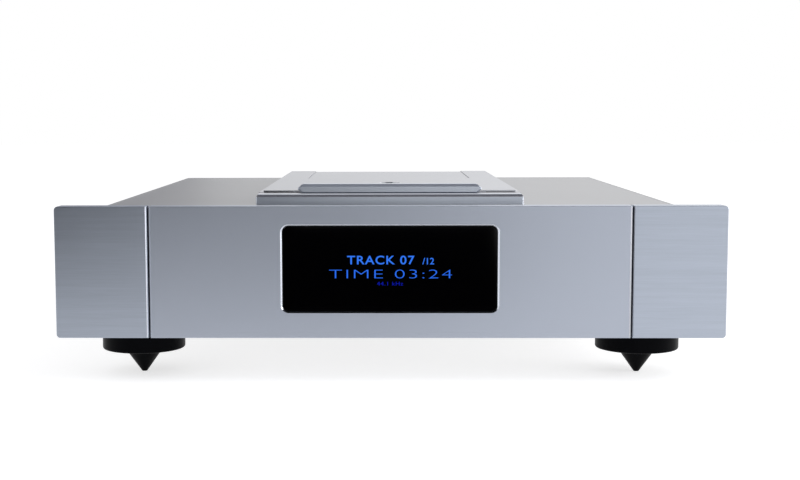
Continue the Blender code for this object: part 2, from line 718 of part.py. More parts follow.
def make_well():
    """The bowl under the deck's opening, with the hole for the hub and the slot for the lens."""
    wall = WELL_RADIUS + WELL_WALL
    flange_bottom = WELL_TOP - WELL_WALL
    profile = [(WELL_OUTER, WELL_TOP), (WELL_OUTER, flange_bottom)]
    profile += [(wall, flange_bottom), (wall, WELL_BOTTOM)]
    profile += [(WELL_HUB_HOLE, WELL_BOTTOM), (WELL_HUB_HOLE, WELL_FLOOR)]
    profile += [(WELL_RADIUS - WELL_FILLET, WELL_FLOOR), (WELL_RADIUS, WELL_FLOOR + WELL_FILLET)]
    profile += [(WELL_RADIUS, WELL_TOP)]
    well = turned("disc_well", profile, (0, WELL_PLACE, 0), BLACK_PLASTIC, ring=True)
    slot_y = (WELL_PLACE - WELL_RADIUS + SLOT_END_WALL, WELL_PLACE - SLOT_INNER_PLACE)
    slot_z = (WELL_BOTTOM - OVERRUN, WELL_FLOOR + OVERRUN)
    cut(well, block("lens_slot_cutter", about(0, SLOT_HALF_WIDTH), slot_y, slot_z))


def make_lid():
    """The lid runs on the rails, with a tongue between them. A bar with pointed ends hangs over its front."""
    side = DECK_HALF_WIDTH - LID_SIDE_INSET
    tongue = RAIL_INNER - SEAT_GAP
    step = RAIL_TOP + SEAT_GAP
    y_span = (LID_FRONT_PLACE, LID_REAR)
    lid = block("sliding_lid", about(0, side), y_span, (step, LID_TOP), BRUSHED_ALUMINIUM)
    join(lid, block("lid_tongue", about(0, tongue), y_span, (LID_BOTTOM, step + LID_FLANGE / 2)))
    sphere = (DIMPLE_RADIUS**2 + DIMPLE_DEPTH**2) / (2 * DIMPLE_DEPTH)
    edge_angle = math.asin((DIMPLE_RADIUS + OVERRUN) / sphere)
    centre = (0, LID_TOP - DIMPLE_DEPTH + sphere)
    bowl = arc(centre, sphere, -math.pi / 2 + edge_angle, -math.pi / 2, FILLET_STEPS)
    bowl[-1] = (0, LID_TOP - DIMPLE_DEPTH)
    above = bowl[0][1]
    cut(lid, turned("dimple_cutter", [(0, above), *bowl], (0, WELL_PLACE, 0), steps=MEDIUM_STEPS))
    nose_y = (HANDLE_FRONT, HANDLE_FRONT + HANDLE_DEPTH)
    nose_bottom = DECK_TOP + HANDLE_LIFT
    nose_z = (nose_bottom, nose_bottom + HANDLE_HEIGHT)
    half = HANDLE_WIDTH / 2
    flat, middle = half - HANDLE_POINT, nose_bottom + HANDLE_HEIGHT / 2
    right = [(flat, nose_z[0]), (half, middle), (flat, nose_z[1])]
    left = [(-x, z) for x, z in reversed(right)]
    handle = plate("lid_handle", [right + left], nose_y, "y", BRUSHED_ALUMINIUM)
    soften(handle, HANDLE_CHAMFER)
    foot_z = (LID_TOP + SEAT_GAP, LID_TOP + SEAT_GAP + HANDLE_FOOT_HEIGHT)
    foot_y = (nose_y[1] - HANDLE_CHAMFER, nose_y[1] + HANDLE_FOOT_DEPTH)
    join(handle, block("handle_foot", about(0, half - HANDLE_FOOT_INSET), foot_y, foot_z))


def make_spindle():
    """The spindle motor in the chassis, the hub on its shaft, and the puck that holds the disc down."""
    here = (0, WELL_PLACE, 0)
    bore = SHAFT_RADIUS + SEAT_GAP
    boss_top = MOTOR_TOP + MOTOR_BOSS_HEIGHT
    neck_bottom = boss_top + SEAT_GAP
    shaft_end = neck_bottom - SHAFT_LENGTH
    bore_end = shaft_end - SHAFT_END_GAP
    flange_bottom = CHASSIS_TOP + SEAT_GAP
    flange_top = flange_bottom + MOTOR_FLANGE_THICKNESS
    flange = MOTOR_RADIUS + MOTOR_FLANGE
    bottom = min(MOTOR_TOP - MOTOR_HEIGHT, bore_end - OVERRUN)
    motor = [(0, bore_end), (bore, bore_end), (bore, boss_top), (MOTOR_BOSS_RADIUS, boss_top)]
    motor += [(MOTOR_BOSS_RADIUS, MOTOR_TOP), (MOTOR_RADIUS, MOTOR_TOP), (MOTOR_RADIUS, flange_top)]
    motor += [(flange, flange_top), (flange, flange_bottom), (MOTOR_RADIUS, flange_bottom)]
    motor += [(MOTOR_RADIUS, bottom), (0, bottom)]
    turned("spindle_motor", motor, here, STEEL, steps=SMALL_STEPS)
    platform_bottom = HUB_TOP - HUB_HEIGHT
    boss = HUB_TOP + BOSS_HEIGHT
    hub = [(0, boss), (BOSS_RADIUS - BOSS_CHAMFER, boss), (BOSS_RADIUS, boss - BOSS_CHAMFER)]
    hub += [(BOSS_RADIUS, HUB_TOP), (HUB_RADIUS, HUB_TOP), (HUB_RADIUS, platform_bottom)]
    hub += [(HUB_NECK_RADIUS, platform_bottom), (HUB_NECK_RADIUS, neck_bottom)]
    hub += [(SHAFT_RADIUS, neck_bottom), (SHAFT_RADIUS, shaft_end), (0, shaft_end)]
    turned("spindle_hub", hub, here, POLISHED_STEEL, steps=MEDIUM_STEPS)
    recess = BOSS_RADIUS + SEAT_GAP
    recess_top = boss + SEAT_GAP
    puck = [(0, PUCK_TOP), (PUCK_RADIUS - PUCK_CHAMFER, PUCK_TOP), (PUCK_RADIUS, PUCK_TOP - PUCK_CHAMFER)]
    puck += [(PUCK_RADIUS, PUCK_BOTTOM), (recess, PUCK_BOTTOM), (recess, recess_top), (0, recess_top)]
    turned("disc_puck", puck, here, BLACK_DELRIN, steps=MEDIUM_STEPS)


def make_chassis():
    """The drive chassis under the well, with rod lugs and the gear post, on four rubber grommets."""
    span = about(0, CHASSIS_HALF_WIDTH)
    face = rounded_rectangle(span, (CHASSIS_FRONT, CHASSIS_REAR), CHASSIS_CORNER)
    motor_hole = circle((0, WELL_PLACE), MOTOR_RADIUS + SEAT_GAP)
    pinion_hole = circle((GEAR_SIDE_PLACE, PINION_PLACE), PINION_SHAFT_RADIUS + SEAT_GAP, SMALL_STEPS)
    holes = [motor_hole, pinion_hole]
    chassis = plate("drive_chassis", [face, *holes], (CHASSIS_BOTTOM, CHASSIS_TOP), "z", STEEL)
    lug_z = (CHASSIS_BOTTOM + CHASSIS_THICKNESS / 2, ROD_HEIGHT + LUG_RISE)
    for side_name, side in (("left", -1), ("right", 1)):
        lug_x = about(side * ROD_PLACE, LUG_HALF_WIDTH)
        for end_name, lug_y in (
            ("front", (ROD_FRONT - LUG_DEPTH, ROD_FRONT)),
            ("rear", (ROD_REAR, ROD_REAR + LUG_DEPTH)),
        ):
            join(chassis, block(f"{side_name}_{end_name}_lug", lug_x, lug_y, lug_z))
    post_top = GEAR_BOTTOM + GEAR_HEIGHT + SEAT_GAP
    shoulder_top = GEAR_BOTTOM - SEAT_GAP
    post = [(0, post_top), (SHAFT_RADIUS, post_top), (SHAFT_RADIUS, shoulder_top)]
    post += [(GEAR_HUB_RADIUS, shoulder_top), (GEAR_HUB_RADIUS, lug_z[0]), (0, lug_z[0])]
    post_spot = (GEAR_SIDE_PLACE, GEAR_PLACE, 0)
    join(chassis, turned("gear_post", post, post_spot, steps=SMALL_STEPS))
    for name, side in (("left", -1), ("right", 1)):
        make_rod(chassis, name, side)
    make_grommets()


def make_rod(chassis, name, side):
    """A guide rod, with its ends in blind bores of the lugs."""
    front, rear = ROD_FRONT - ROD_SEAT, ROD_REAR + ROD_SEAT
    spot = (side * ROD_PLACE, (front + rear) / 2, ROD_HEIGHT)
    room = rear - front + 2 * SEAT_GAP
    cut(chassis, round_bar(name + "_rod_cutter", ROD_RADIUS + SEAT_GAP, spot, room, "y"))
    round_bar(name + "_sled_rod", ROD_RADIUS, spot, rear - front, "y", POLISHED_STEEL)


def make_grommets():
    """Four waisted rubber grommets between the chassis and the floor of the well."""
    low, high = CHASSIS_TOP + SEAT_GAP, WELL_BOTTOM - SEAT_GAP
    profile = [(0, high), (GROMMET_RADIUS, high), (GROMMET_RADIUS, high - GROMMET_RIM)]
    profile += [(GROMMET_WAIST, (low + high) / 2), (GROMMET_RADIUS, low + GROMMET_RIM)]
    profile += [(GROMMET_RADIUS, low), (0, low)]
    number = 0
    for side in (-1, 1):
        for end in (-1, 1):
            number += 1
            spot = (side * GROMMET_SIDE_PLACE, WELL_PLACE + end * GROMMET_LENGTH_PLACE, 0)
            turned(f"drive_grommet_{number}", profile, spot, BLACK_RUBBER, steps=FINE_STEPS)


def involute(angle):
    return math.tan(angle) - angle


def gear_outline(teeth, first_tooth):
    """An involute spur gear's outline, with a tooth centred on the first tooth's direction."""
    pitch = GEAR_MODULE * teeth / 2
    base = pitch * math.cos(PRESSURE_ANGLE)
    root = pitch - DEDENDUM_SHARE * GEAR_MODULE
    tip = pitch + ADDENDUM_SHARE * GEAR_MODULE
    half_at_pitch = math.pi / (2 * teeth) - BACKLASH / (2 * pitch)

    def half_angle(radius):
        reach = math.acos(min(1, base / radius))
        return half_at_pitch + involute(PRESSURE_ANGLE) - involute(reach)

    start = max(base, root)
    flank = [start + (tip - start) * index / FLANK_STEPS for index in range(FLANK_STEPS + 1)]
    points = []
    for tooth in range(teeth):
        middle = first_tooth + math.tau * tooth / teeth
        rising = [(radius, middle - half_angle(radius)) for radius in flank]
        falling = [(radius, middle + half_angle(radius)) for radius in reversed(flank)]
        foot = half_angle(start)
        polar = [(root, middle - foot), *rising, *falling, (root, middle + foot)]
        points += [(radius * math.cos(angle), radius * math.sin(angle)) for radius, angle in polar]
    return points


def rack_outline():
    """The rack on the sled's right side, with a gap centred on the gear at rest.

    It reaches past the gear by some teeth at both ends of the sled's travel.
    """
    pitch = math.pi * GEAR_MODULE
    root = RACK_PITCH_LINE - DEDENDUM_SHARE * GEAR_MODULE
    tip = RACK_PITCH_LINE + ADDENDUM_SHARE * GEAR_MODULE
    slope = math.tan(PRESSURE_ANGLE)
    half = pitch / 4 - BACKLASH / 2
    at_root = half + (RACK_PITCH_LINE - root) * slope
    at_tip = half - (tip - RACK_PITCH_LINE) * slope
    last = math.ceil(SLED_TRAVEL / pitch) + RACK_EXTRA_TEETH
    points = []
    for index in range(-RACK_EXTRA_TEETH, last):
        centre = GEAR_PLACE + (index + 0.5) * pitch
        points += [(root, centre - at_root), (tip, centre - at_tip)]
        points += [(tip, centre + at_tip), (root, centre + at_root)]
    inner = ROD_PLACE + LUG_HALF_WIDTH + 2 * SEAT_GAP
    front, rear = points[0][1], points[-1][1]
    return [(inner, front), *points, (inner, rear)]


def make_sled():
    """The laser sled on its two rods, with its rack, and the lens in its turret."""
    y_span = about(SLED_PLACE, SLED_HALF_LENGTH)
    top = SLED_BOTTOM + SLED_HEIGHT
    body_x = about(0, SLED_HALF_WIDTH)
    sled = block("laser_sled", body_x, y_span, (SLED_BOTTOM, top), BLACK_PLASTIC)
    turret_top = WELL_FLOOR + TURRET_RISE
    turret_bottom = top - OVERRUN
    lens_seat = turret_top - LENS_THICKNESS
    pocket = LENS_RADIUS + SEAT_GAP
    turret = [(0, lens_seat), (pocket, lens_seat), (pocket, turret_top), (TURRET_RADIUS, turret_top)]
    turret += [(TURRET_RADIUS, turret_bottom), (0, turret_bottom)]
    join(sled, turned("lens_turret", turret, (0, SLED_PLACE, 0), steps=SMALL_STEPS))
    rack_z = (GEAR_BOTTOM, GEAR_BOTTOM + GEAR_HEIGHT)
    join(sled, plate("sled_rack", [rack_outline()], rack_z))
    for name, side in (("left", -1), ("right", 1)):
        spot = (side * ROD_PLACE, SLED_PLACE, ROD_HEIGHT)
        length = 2 * (SLED_HALF_LENGTH + OVERRUN)
        cut(sled, round_bar(name + "_sled_bore", ROD_RADIUS + SEAT_GAP, spot, length, "y"))
    lens_top = turret_top - LENS_RIM
    lens_low = lens_seat + SEAT_GAP
    lens = [(0, lens_top), (LENS_RADIUS, lens_top), (LENS_RADIUS, lens_low), (0, lens_low)]
    turned("pickup_lens", lens, (0, SLED_PLACE, 0), CLEAR_LENS, steps=SMALL_STEPS)
    make_gears()


def make_gears():
    """The sled gear on its post meshes with the rack, and the motor's pinion meshes with the gear."""
    z_span = (GEAR_BOTTOM, GEAR_BOTTOM + GEAR_HEIGHT)
    bore = circle((0, 0), SHAFT_RADIUS + SEAT_GAP, SMALL_STEPS)
    teeth = gear_outline(GEAR_TEETH, math.pi)
    plate("sled_gear", [teeth, bore], z_span, "z", WHITE_NYLON, (GEAR_SIDE_PLACE, GEAR_PLACE))
    first = math.pi / 2 + math.pi / PINION_TEETH
    outline = gear_outline(PINION_TEETH, first)
    spot = (GEAR_SIDE_PLACE, PINION_PLACE)
    pinion = plate("motor_pinion", [outline], z_span, "z", BRASS, spot)
    motor_top = CHASSIS_BOTTOM - SEAT_GAP
    shaft_low = motor_top - PINION_SHAFT_REACH
    shaft_high = z_span[0] + GEAR_HEIGHT / 2
    shaft_spot = (*spot, (shaft_low + shaft_high) / 2)
    join(pinion, round_bar("pinion_shaft", PINION_SHAFT_RADIUS, shaft_spot, shaft_high - shaft_low))
    bore_radius = PINION_SHAFT_RADIUS + SEAT_GAP
    bore_end = shaft_low - SEAT_GAP
    bottom = min(motor_top - SLED_MOTOR_HEIGHT, bore_end - OVERRUN)
    motor = [(0, bore_end), (bore_radius, bore_end), (bore_radius, motor_top)]
    motor += [(SLED_MOTOR_RADIUS, motor_top), (SLED_MOTOR_RADIUS, bottom), (0, bottom)]
    turned("sled_motor", motor, (*spot, 0), STEEL, steps=SMALL_STEPS)


def board(name, x_span, y_span):
    """A circuit board on four standoffs that stand on the base plate."""
    low = INNER_BOTTOM + BOARD_LIFT
    made = block(name, x_span, y_span, (low, low + BOARD_THICKNESS), GREEN_BOARD)
    leg_top = low + BOARD_THICKNESS / 2
    leg_middle = (INNER_BOTTOM + leg_top) / 2
    corners = [(x, y) for x in (0, 1) for y in (0, 1)]
    for number, (right, rear) in enumerate(corners, 1):
        x = x_span[right] + (1 - 2 * right) * STANDOFF_INSET
        y = y_span[rear] + (1 - 2 * rear) * STANDOFF_INSET
        leg = f"{name}_standoff_{number}"
        height = leg_top - INNER_BOTTOM
        join(made, round_bar(leg, STANDOFF_RADIUS, (x, y, leg_middle), height, steps=FINE_STEPS))
    return made


def make_boards():
    """The servo board under the drive, the power board at the left rear, the converter board at the right."""
    servo_x = about(0, SERVO_WIDTH / 2)
    board("servo_board", servo_x, about(WELL_PLACE, SERVO_DEPTH / 2))
    rear = REAR_INSIDE - BOARD_REAR_MARGIN
    outer = INNER_HALF_WIDTH - BOARD_SIDE_MARGIN
    inner = CHASSIS_HALF_WIDTH + BOARD_SIDE_MARGIN
    power_x, power_y = (-outer, -inner), (rear - POWER_BOARD_DEPTH, rear)
    board("power_board", power_x, power_y)
    board("converter_board", (0, outer), (rear - CONVERTER_DEPTH, rear))
    board_top = INNER_BOTTOM + BOARD_LIFT + BOARD_THICKNESS + SEAT_GAP
    top = board_top + CAPACITOR_HEIGHT
    edge = CAPACITOR_RADIUS - CAPACITOR_ROUND
    can = [(0, top), (edge, top), (CAPACITOR_RADIUS, top - CAPACITOR_ROUND)]
    can += [(CAPACITOR_RADIUS, board_top), (0, board_top)]
    pair_x = power_x[0] + CAPACITOR_PAIR_SHARE * (power_x[1] - power_x[0])
    y = power_y[0] + CAPACITOR_FRONT_MARGIN
    for number, x in enumerate(about(pair_x, CAPACITOR_RADIUS + CAPACITOR_GAP / 2), 1):
        turned(f"filter_capacitor_{number}", can, (x, y, 0), BLACK_PLASTIC, steps=SMALL_STEPS)
    sink_x = about((power_x[0] + power_x[1]) / 2, SINK_WIDTH / 2)
    sink_rear = power_y[1] - SINK_REAR_MARGIN
    fins = comb_outline(sink_x, (sink_rear - SINK_DEPTH, sink_rear))
    plate("regulator_heat_sink", [fins], (board_top, board_top + SINK_HEIGHT), "z", STEEL)


def comb_outline(x_span, y_span):
    """A heat sink's section: a back with fins that point to the rear."""
    (near, far), back = y_span, y_span[0] + SINK_BACK
    pitch = (x_span[1] - x_span[0] - SINK_FIN) / (SINK_FINS - 1)
    points = []
    for index in range(SINK_FINS):
        left = x_span[0] + index * pitch
        right = left + SINK_FIN
        points += [(left, back), (left, far), (right, far), (right, back)]
    return [(x_span[0], near), *points[1:-1], (x_span[1], near)]


def make_transformers():
    """Two toroidal transformers on the base plate, each held by a dished disc and a bolt."""
    x = -(INNER_HALF_WIDTH + CHASSIS_HALF_WIDTH) / 2
    top = INNER_BOTTOM + TOROID_HEIGHT
    inside, outside = TOROID_HOLE + TOROID_ROUND, TOROID_RADIUS - TOROID_ROUND
    low, high = INNER_BOTTOM + TOROID_ROUND, top - TOROID_ROUND
    quarter = math.pi / 2
    corners = [(outside, high), (outside, low), (inside, low), (inside, high)]
    ring = []
    for index, centre in enumerate(corners):
        start = quarter - index * quarter
        ring += arc(centre, TOROID_ROUND, start, start - quarter, FILLET_STEPS)
    clamp_low = top + SEAT_GAP
    clamp_top = clamp_low + CLAMP_THICKNESS
    head_top = clamp_top + BOLT_HEAD_HEIGHT
    clamp = [(0, head_top), (BOLT_HEAD_RADIUS, head_top), (BOLT_HEAD_RADIUS, clamp_top)]
    clamp += [(CLAMP_RADIUS - CLAMP_RIM, clamp_top), (CLAMP_RADIUS, clamp_top - CLAMP_RIM)]
    clamp += [(CLAMP_RADIUS, clamp_low), (BOLT_RADIUS, clamp_low)]
    clamp += [(BOLT_RADIUS, INNER_BOTTOM), (0, INNER_BOTTOM)]
    for index, name in enumerate(("digital", "analogue")):
        y = SUBFRAME_BACK + TOROID_FRONT_MARGIN + TOROID_RADIUS + index * TOROID_SPACING
        turned(name + "_transformer", ring, (x, y, 0), COPPER_TAPE, steps=SMALL_STEPS, ring=True)
        turned(name + "_transformer_clamp", clamp, (x, y, 0), STEEL, steps=SMALL_STEPS)


def rear_height(share):
    """A height on the rear panel, as a share of the inside height."""
    return INNER_BOTTOM + share * (INNER_TOP - INNER_BOTTOM)


def make_rear():
    """The rear panel with a cut-out for each socket, and the sockets themselves."""
    x_span = about(0, INNER_HALF_WIDTH)
    outline = rectangle(x_span, (INNER_BOTTOM, INNER_TOP))
    holes = []
    inlet_spot = (INLET_SIDE_SHARE * INNER_HALF_WIDTH, (INNER_BOTTOM + INNER_TOP) / 2)
    holes.append(make_inlet(*inlet_spot))
    digital_x = DIGITAL_SIDE_SHARE * INNER_HALF_WIDTH
    balanced_z = rear_height(BALANCED_HEIGHT_SHARE)
    unbalanced_z = rear_height(UNBALANCED_HEIGHT_SHARE)
    analogue_x = [share * INNER_HALF_WIDTH for share in ANALOGUE_SIDE_SHARES]
    outputs = {"right": analogue_x[0], "left": analogue_x[1], "digital": digital_x}
    for name, x in outputs.items():
        holes.append(make_balanced(name + "_balanced_output", x, balanced_z))
        holes.append(make_jack(name + "_jack_output", x, unbalanced_z))
    holes.append(make_optical(OPTICAL_SIDE_SHARE * INNER_HALF_WIDTH, unbalanced_z))
    plate("rear_panel", [outline, *holes], (REAR_INSIDE, CASE_DEPTH), "y", PAINTED_CASE)


def make_inlet(x, z):
    """The mains inlet with its socket, fuse drawer and rocker switch. Returns the panel's cut-out."""
    flange_low = CASE_DEPTH + SEAT_GAP
    flange_high = flange_low + INLET_FLANGE
    flange = rounded_rectangle(about(x, INLET_WIDTH / 2), about(z, INLET_HEIGHT / 2), INLET_CORNER)
    inlet = plate("mains_inlet", [flange], (flange_low, flange_high), "y", BLACK_PLASTIC)
    body_y = (CASE_DEPTH - INLET_BODY_DEPTH, flange_low + INLET_FLANGE / 2)
    body_x, body_z = about(x, INLET_BODY_WIDTH / 2), about(z, INLET_BODY_HEIGHT / 2)
    join(inlet, block("inlet_body", body_x, body_y, body_z))
    mouth = flange_high + OVERRUN
    socket = [socket_outline(x, z - SOCKET_DROP)]
    cut(inlet, plate("socket_cutter", socket, (flange_high - SOCKET_DEPTH, mouth), "y"))
    make_drawer(inlet, x, z - DRAWER_DROP, flange_high)
    make_rocker(inlet, x, z - ROCKER_DROP, flange_high)
    grow = CUTOUT_CLEARANCE
    return rectangle((body_x[0] - grow, body_x[1] + grow), (body_z[0] - grow, body_z[1] + grow))


def socket_outline(x, z):
    """The mains socket's six-sided outline, with its two lower corners cut off."""
    left, right = about(x, SOCKET_WIDTH / 2)
    low, high = about(z, SOCKET_HEIGHT / 2)
    step = SOCKET_CHAMFER
    right_side = [(right - step, low), (right, low + step), (right, high)]
    return [*right_side, (left, high), (left, low + step), (left + step, low)]


def make_drawer(inlet, x, z, face):
    """The fuse drawer pulls straight out. Its finger notch is cut in the lower edge."""
    room_y = (face - DRAWER_DEPTH, face + OVERRUN)
    room_x, room_z = about(x, DRAWER_WIDTH / 2), about(z, DRAWER_HEIGHT / 2)
    cut(inlet, block("drawer_cutter", room_x, room_y, room_z))
    half, tall = DRAWER_WIDTH / 2 - SEAT_GAP, DRAWER_HEIGHT / 2 - SEAT_GAP
    drawer_y = (room_y[0] + SEAT_GAP, face)
    drawer = block("fuse_drawer", about(x, half), drawer_y, about(z, tall), BLACK_PLASTIC)
    notch_y = (face - DRAWER_NOTCH, face + OVERRUN)
    notch_z = (z - DRAWER_HEIGHT / 2 - OVERRUN, z - tall + DRAWER_NOTCH)
    cut(drawer, block("notch_cutter", about(x, DRAWER_NOTCH_WIDTH / 2), notch_y, notch_z))


def make_rocker(inlet, x, z, face):
    """The rocker turns about a level axis behind the face. At rest its upper half is pressed in."""
    pivot = face - ROCKER_PIVOT_DEPTH
    room_x = about(x, ROCKER_WIDTH / 2 + SEAT_GAP)
    room_y = (pivot - ROCKER_ROOM, face + OVERRUN)
    cut(inlet, block("rocker_cutter", room_x, room_y, about(z, ROCKER_ROOM)))
    tall = ROCKER_HALF_HEIGHT
    dish = ROCKER_RISE - ROCKER_DISH
    section = [(-ROCKER_TAIL, -tall / 2), (ROCKER_RISE / 2, -tall), (ROCKER_RISE, -tall), (dish, 0)]
    section += [(ROCKER_RISE, tall), (ROCKER_RISE / 2, tall), (-ROCKER_TAIL, tall / 2)]
    rocker_x = about(x, ROCKER_WIDTH / 2)
    rocker = plate("power_switch_rocker", [section], rocker_x, "x", BLACK_PLASTIC, (pivot, z))
    lean = Matrix.Rotation(ROCKER_TILT, 3, "X") @ rocker.rotation_euler.to_matrix()
    rocker.rotation_euler = lean.to_euler()


def make_balanced(name, x, z):
    """A three-pole balanced socket: a flange with a raised lip, and a barrel with an open bore."""
    flange_low = CASE_DEPTH + SEAT_GAP
    flange_high = flange_low + BALANCED_FLANGE
    flange = rounded_rectangle(about(x, BALANCED_WIDTH / 2), about(z, BALANCED_TALL / 2), BALANCED_CORNER)
    socket = plate(name, [flange], (flange_low, flange_high), "y", BLACK_PLASTIC)
    back, lip = CASE_DEPTH - BALANCED_BACK, flange_high + BALANCED_LIP_RISE
    lip_spot = (x, (flange_low + lip) / 2, z)
    lip_radius = BALANCED_BORE + BALANCED_LIP
    join(socket, round_bar(name + "_lip", lip_radius, lip_spot, lip - flange_low - SEAT_GAP, "y"))
    barrel_high = flange_low + BALANCED_FLANGE / 2
    barrel_spot = (x, (back + barrel_high) / 2, z)
    join(socket, round_bar(name + "_barrel", BALANCED_BARREL, barrel_spot, barrel_high - back, "y"))
    floor, mouth = flange_high - BALANCED_DEPTH, lip + OVERRUN
    bore_spot = (x, (floor + mouth) / 2, z)
    cut(socket, round_bar(name + "_bore", BALANCED_BORE, bore_spot, mouth - floor, "y"))
    return circle((x, z), BALANCED_BARREL + CUTOUT_CLEARANCE, SMALL_STEPS)


def make_jack(name, x, z):
    """A phono jack turned about y: back, thread, nut and sleeve, with a centre hole."""
    nut_low = SEAT_GAP
    nut_high = nut_low + JACK_NUT_HEIGHT
    tip = nut_high + JACK_REACH
    inside = -REAR_THICKNESS - SEAT_GAP
    back = inside - JACK_BACK
    hole = tip - JACK_HOLE_DEPTH
    rim = JACK_RADIUS - JACK_CHAMFER
    profile = [(0, hole), (JACK_HOLE_RADIUS, hole), (JACK_HOLE_RADIUS, tip), (rim, tip)]
    profile += [(JACK_RADIUS, tip - JACK_CHAMFER), (JACK_RADIUS, nut_high), (JACK_NUT_RADIUS, nut_high)]
    profile += [(JACK_NUT_RADIUS, nut_low), (JACK_THREAD_RADIUS, nut_low), (JACK_THREAD_RADIUS, inside)]
    profile += [(JACK_BACK_RADIUS, inside), (JACK_BACK_RADIUS, back), (0, back)]
    turned(name, profile, (x, CASE_DEPTH, z), BRASS, lying=True, steps=SMALL_STEPS)
    return circle((x, z), JACK_THREAD_RADIUS + CUTOUT_CLEARANCE, SMALL_STEPS)


def make_optical(x, z):
    """The optical output: a small square socket with a recessed door."""
    flange_low = CASE_DEPTH + SEAT_GAP
    flange_high = flange_low + OPTICAL_FLANGE
    half, tall = OPTICAL_WIDTH / 2, OPTICAL_HEIGHT / 2
    socket = block("optical_output", about(x, half), (flange_low, flange_high), about(z, tall), BLACK_PLASTIC)
    body_x, body_z = about(x, half - OPTICAL_BODY_INSET), about(z, tall - OPTICAL_BODY_INSET)
    body_y = (CASE_DEPTH - OPTICAL_BACK, flange_low + OPTICAL_FLANGE / 2)
    join(socket, block("optical_body", body_x, body_y, body_z))
    door_y = (flange_high - OPTICAL_DOOR_DEPTH, flange_high + OVERRUN)
    door_x, door_z = about(x, half - OPTICAL_DOOR_INSET), about(z, tall - OPTICAL_DOOR_INSET)
    cut(socket, block("optical_door_cutter", door_x, door_y, door_z))
    grow = CUTOUT_CLEARANCE
    return rectangle((body_x[0] - grow, body_x[1] + grow), (body_z[0] - grow, body_z[1] + grow))


def main():
    make_feet()
    make_front_panels()
    make_display()
    make_case()
    make_deck()
    make_well()
    make_lid()
    make_spindle()
    make_chassis()
    make_sled()
    make_boards()
    make_transformers()
    make_rear()


main()
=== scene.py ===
"""Dresses a top-loading CD player in metal, glass and plastic, and sets it in a plain studio.

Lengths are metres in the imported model's frame: x to the right, y to the rear, z up from the foot tips.
"""

import json
import math

import bmesh
import bpy
from bpy.props import FloatProperty, FloatVectorProperty, IntProperty, PointerProperty, StringProperty
from mathutils import Matrix, Vector


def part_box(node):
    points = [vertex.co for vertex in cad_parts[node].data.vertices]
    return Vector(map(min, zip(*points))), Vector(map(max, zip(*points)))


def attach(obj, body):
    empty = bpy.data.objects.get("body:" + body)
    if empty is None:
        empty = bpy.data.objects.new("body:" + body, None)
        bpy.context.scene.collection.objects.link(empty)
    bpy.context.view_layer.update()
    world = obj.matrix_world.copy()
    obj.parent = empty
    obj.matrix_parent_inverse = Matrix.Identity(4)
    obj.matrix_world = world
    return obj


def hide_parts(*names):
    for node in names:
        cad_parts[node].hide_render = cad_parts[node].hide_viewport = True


bl_info = {
    "name": "CD player dresser",
    "version": (1, 0, 0),
    "blender": (4, 5, 0),
    "location": "3D View > Sidebar > CD player",
    "description": "Adds the finishes, soft edges, sockets, characters and studio of a top-loading CD player",
    "category": "Object",
}

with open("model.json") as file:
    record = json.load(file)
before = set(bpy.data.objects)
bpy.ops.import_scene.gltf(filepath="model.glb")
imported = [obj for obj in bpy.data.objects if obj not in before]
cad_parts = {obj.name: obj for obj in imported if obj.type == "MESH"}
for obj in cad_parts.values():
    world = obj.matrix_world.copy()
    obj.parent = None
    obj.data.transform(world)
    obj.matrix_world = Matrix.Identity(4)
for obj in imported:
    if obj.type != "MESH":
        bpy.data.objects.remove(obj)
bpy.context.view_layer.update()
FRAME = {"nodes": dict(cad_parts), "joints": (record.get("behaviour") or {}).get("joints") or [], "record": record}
NODES = FRAME["nodes"]
SLOTS = [entry["slot"] for entry in FRAME["record"]["materials"]]

# Steps and gaps that many pieces share
GAP = 0.0003
HAIRLINE = 0.00005
OVERRUN = 0.002
CORNER_STEPS = 10
EDGE_STEPS = 3
TURN_STEPS = 128
SMALL_TURN_STEPS = 64
SCALLOP_STEPS = 67
SHARP_ANGLE = math.radians(28)
MERGE_DISTANCE = 0.000002

# Fine sizes, shares, strengths and turns that no setting changes
CUT_THICKNESS = 0.00005
SILL_SHARE = 0.45
PANEL_SLOPE = 0.62
DECK_CUT_THICKNESS = 0.00006
DECK_REACH = 0.0008
BEVEL_WIDTH = 0.0008
BEVEL_DROP = 0.0004
DIMPLE_WALL = 0.0013
HANDLE_REACH = 0.0012
HANDLE_FOOT_INSET = 0.003
HANDLE_FOOT_HEIGHT = 0.0018
SLOT_WALL = 0.0007
LENS_RISE = 0.0003
PIN_PLACE = 0.0042
CONE_TIP_ROUND = 0.00012
KEY_RADIUS = 0.0013
WELL_FLANGE = 0.004
WELL_WALL = 0.002
HUB_HOLE = 0.008
SPIGOT_SHARE = 0.625
TIP_SHARE = 0.13
KEY_RISE = 0.4
SPREAD_SPACING = 1.12
FLOOR_GLOW = 0.68
INK_DEPTH = 0.0001
ROCKER_TILT = math.radians(7)
FACING_REAR = (-math.pi / 2, 0, 0)


# Settings


def length(name, description, default):
    """A length that a user can change."""
    return FloatProperty(name=name, description=description, default=default, min=0, precision=5, unit="LENGTH")


def share(name, description, default):
    """A plain number from 0 upwards, such as a roughness or a strength."""
    return FloatProperty(name=name, description=description, default=default, min=0)


def colour(name, description, default):
    """A linear colour that a user can change."""
    return FloatVectorProperty(name=name, description=description, default=default, size=3, subtype="COLOR")


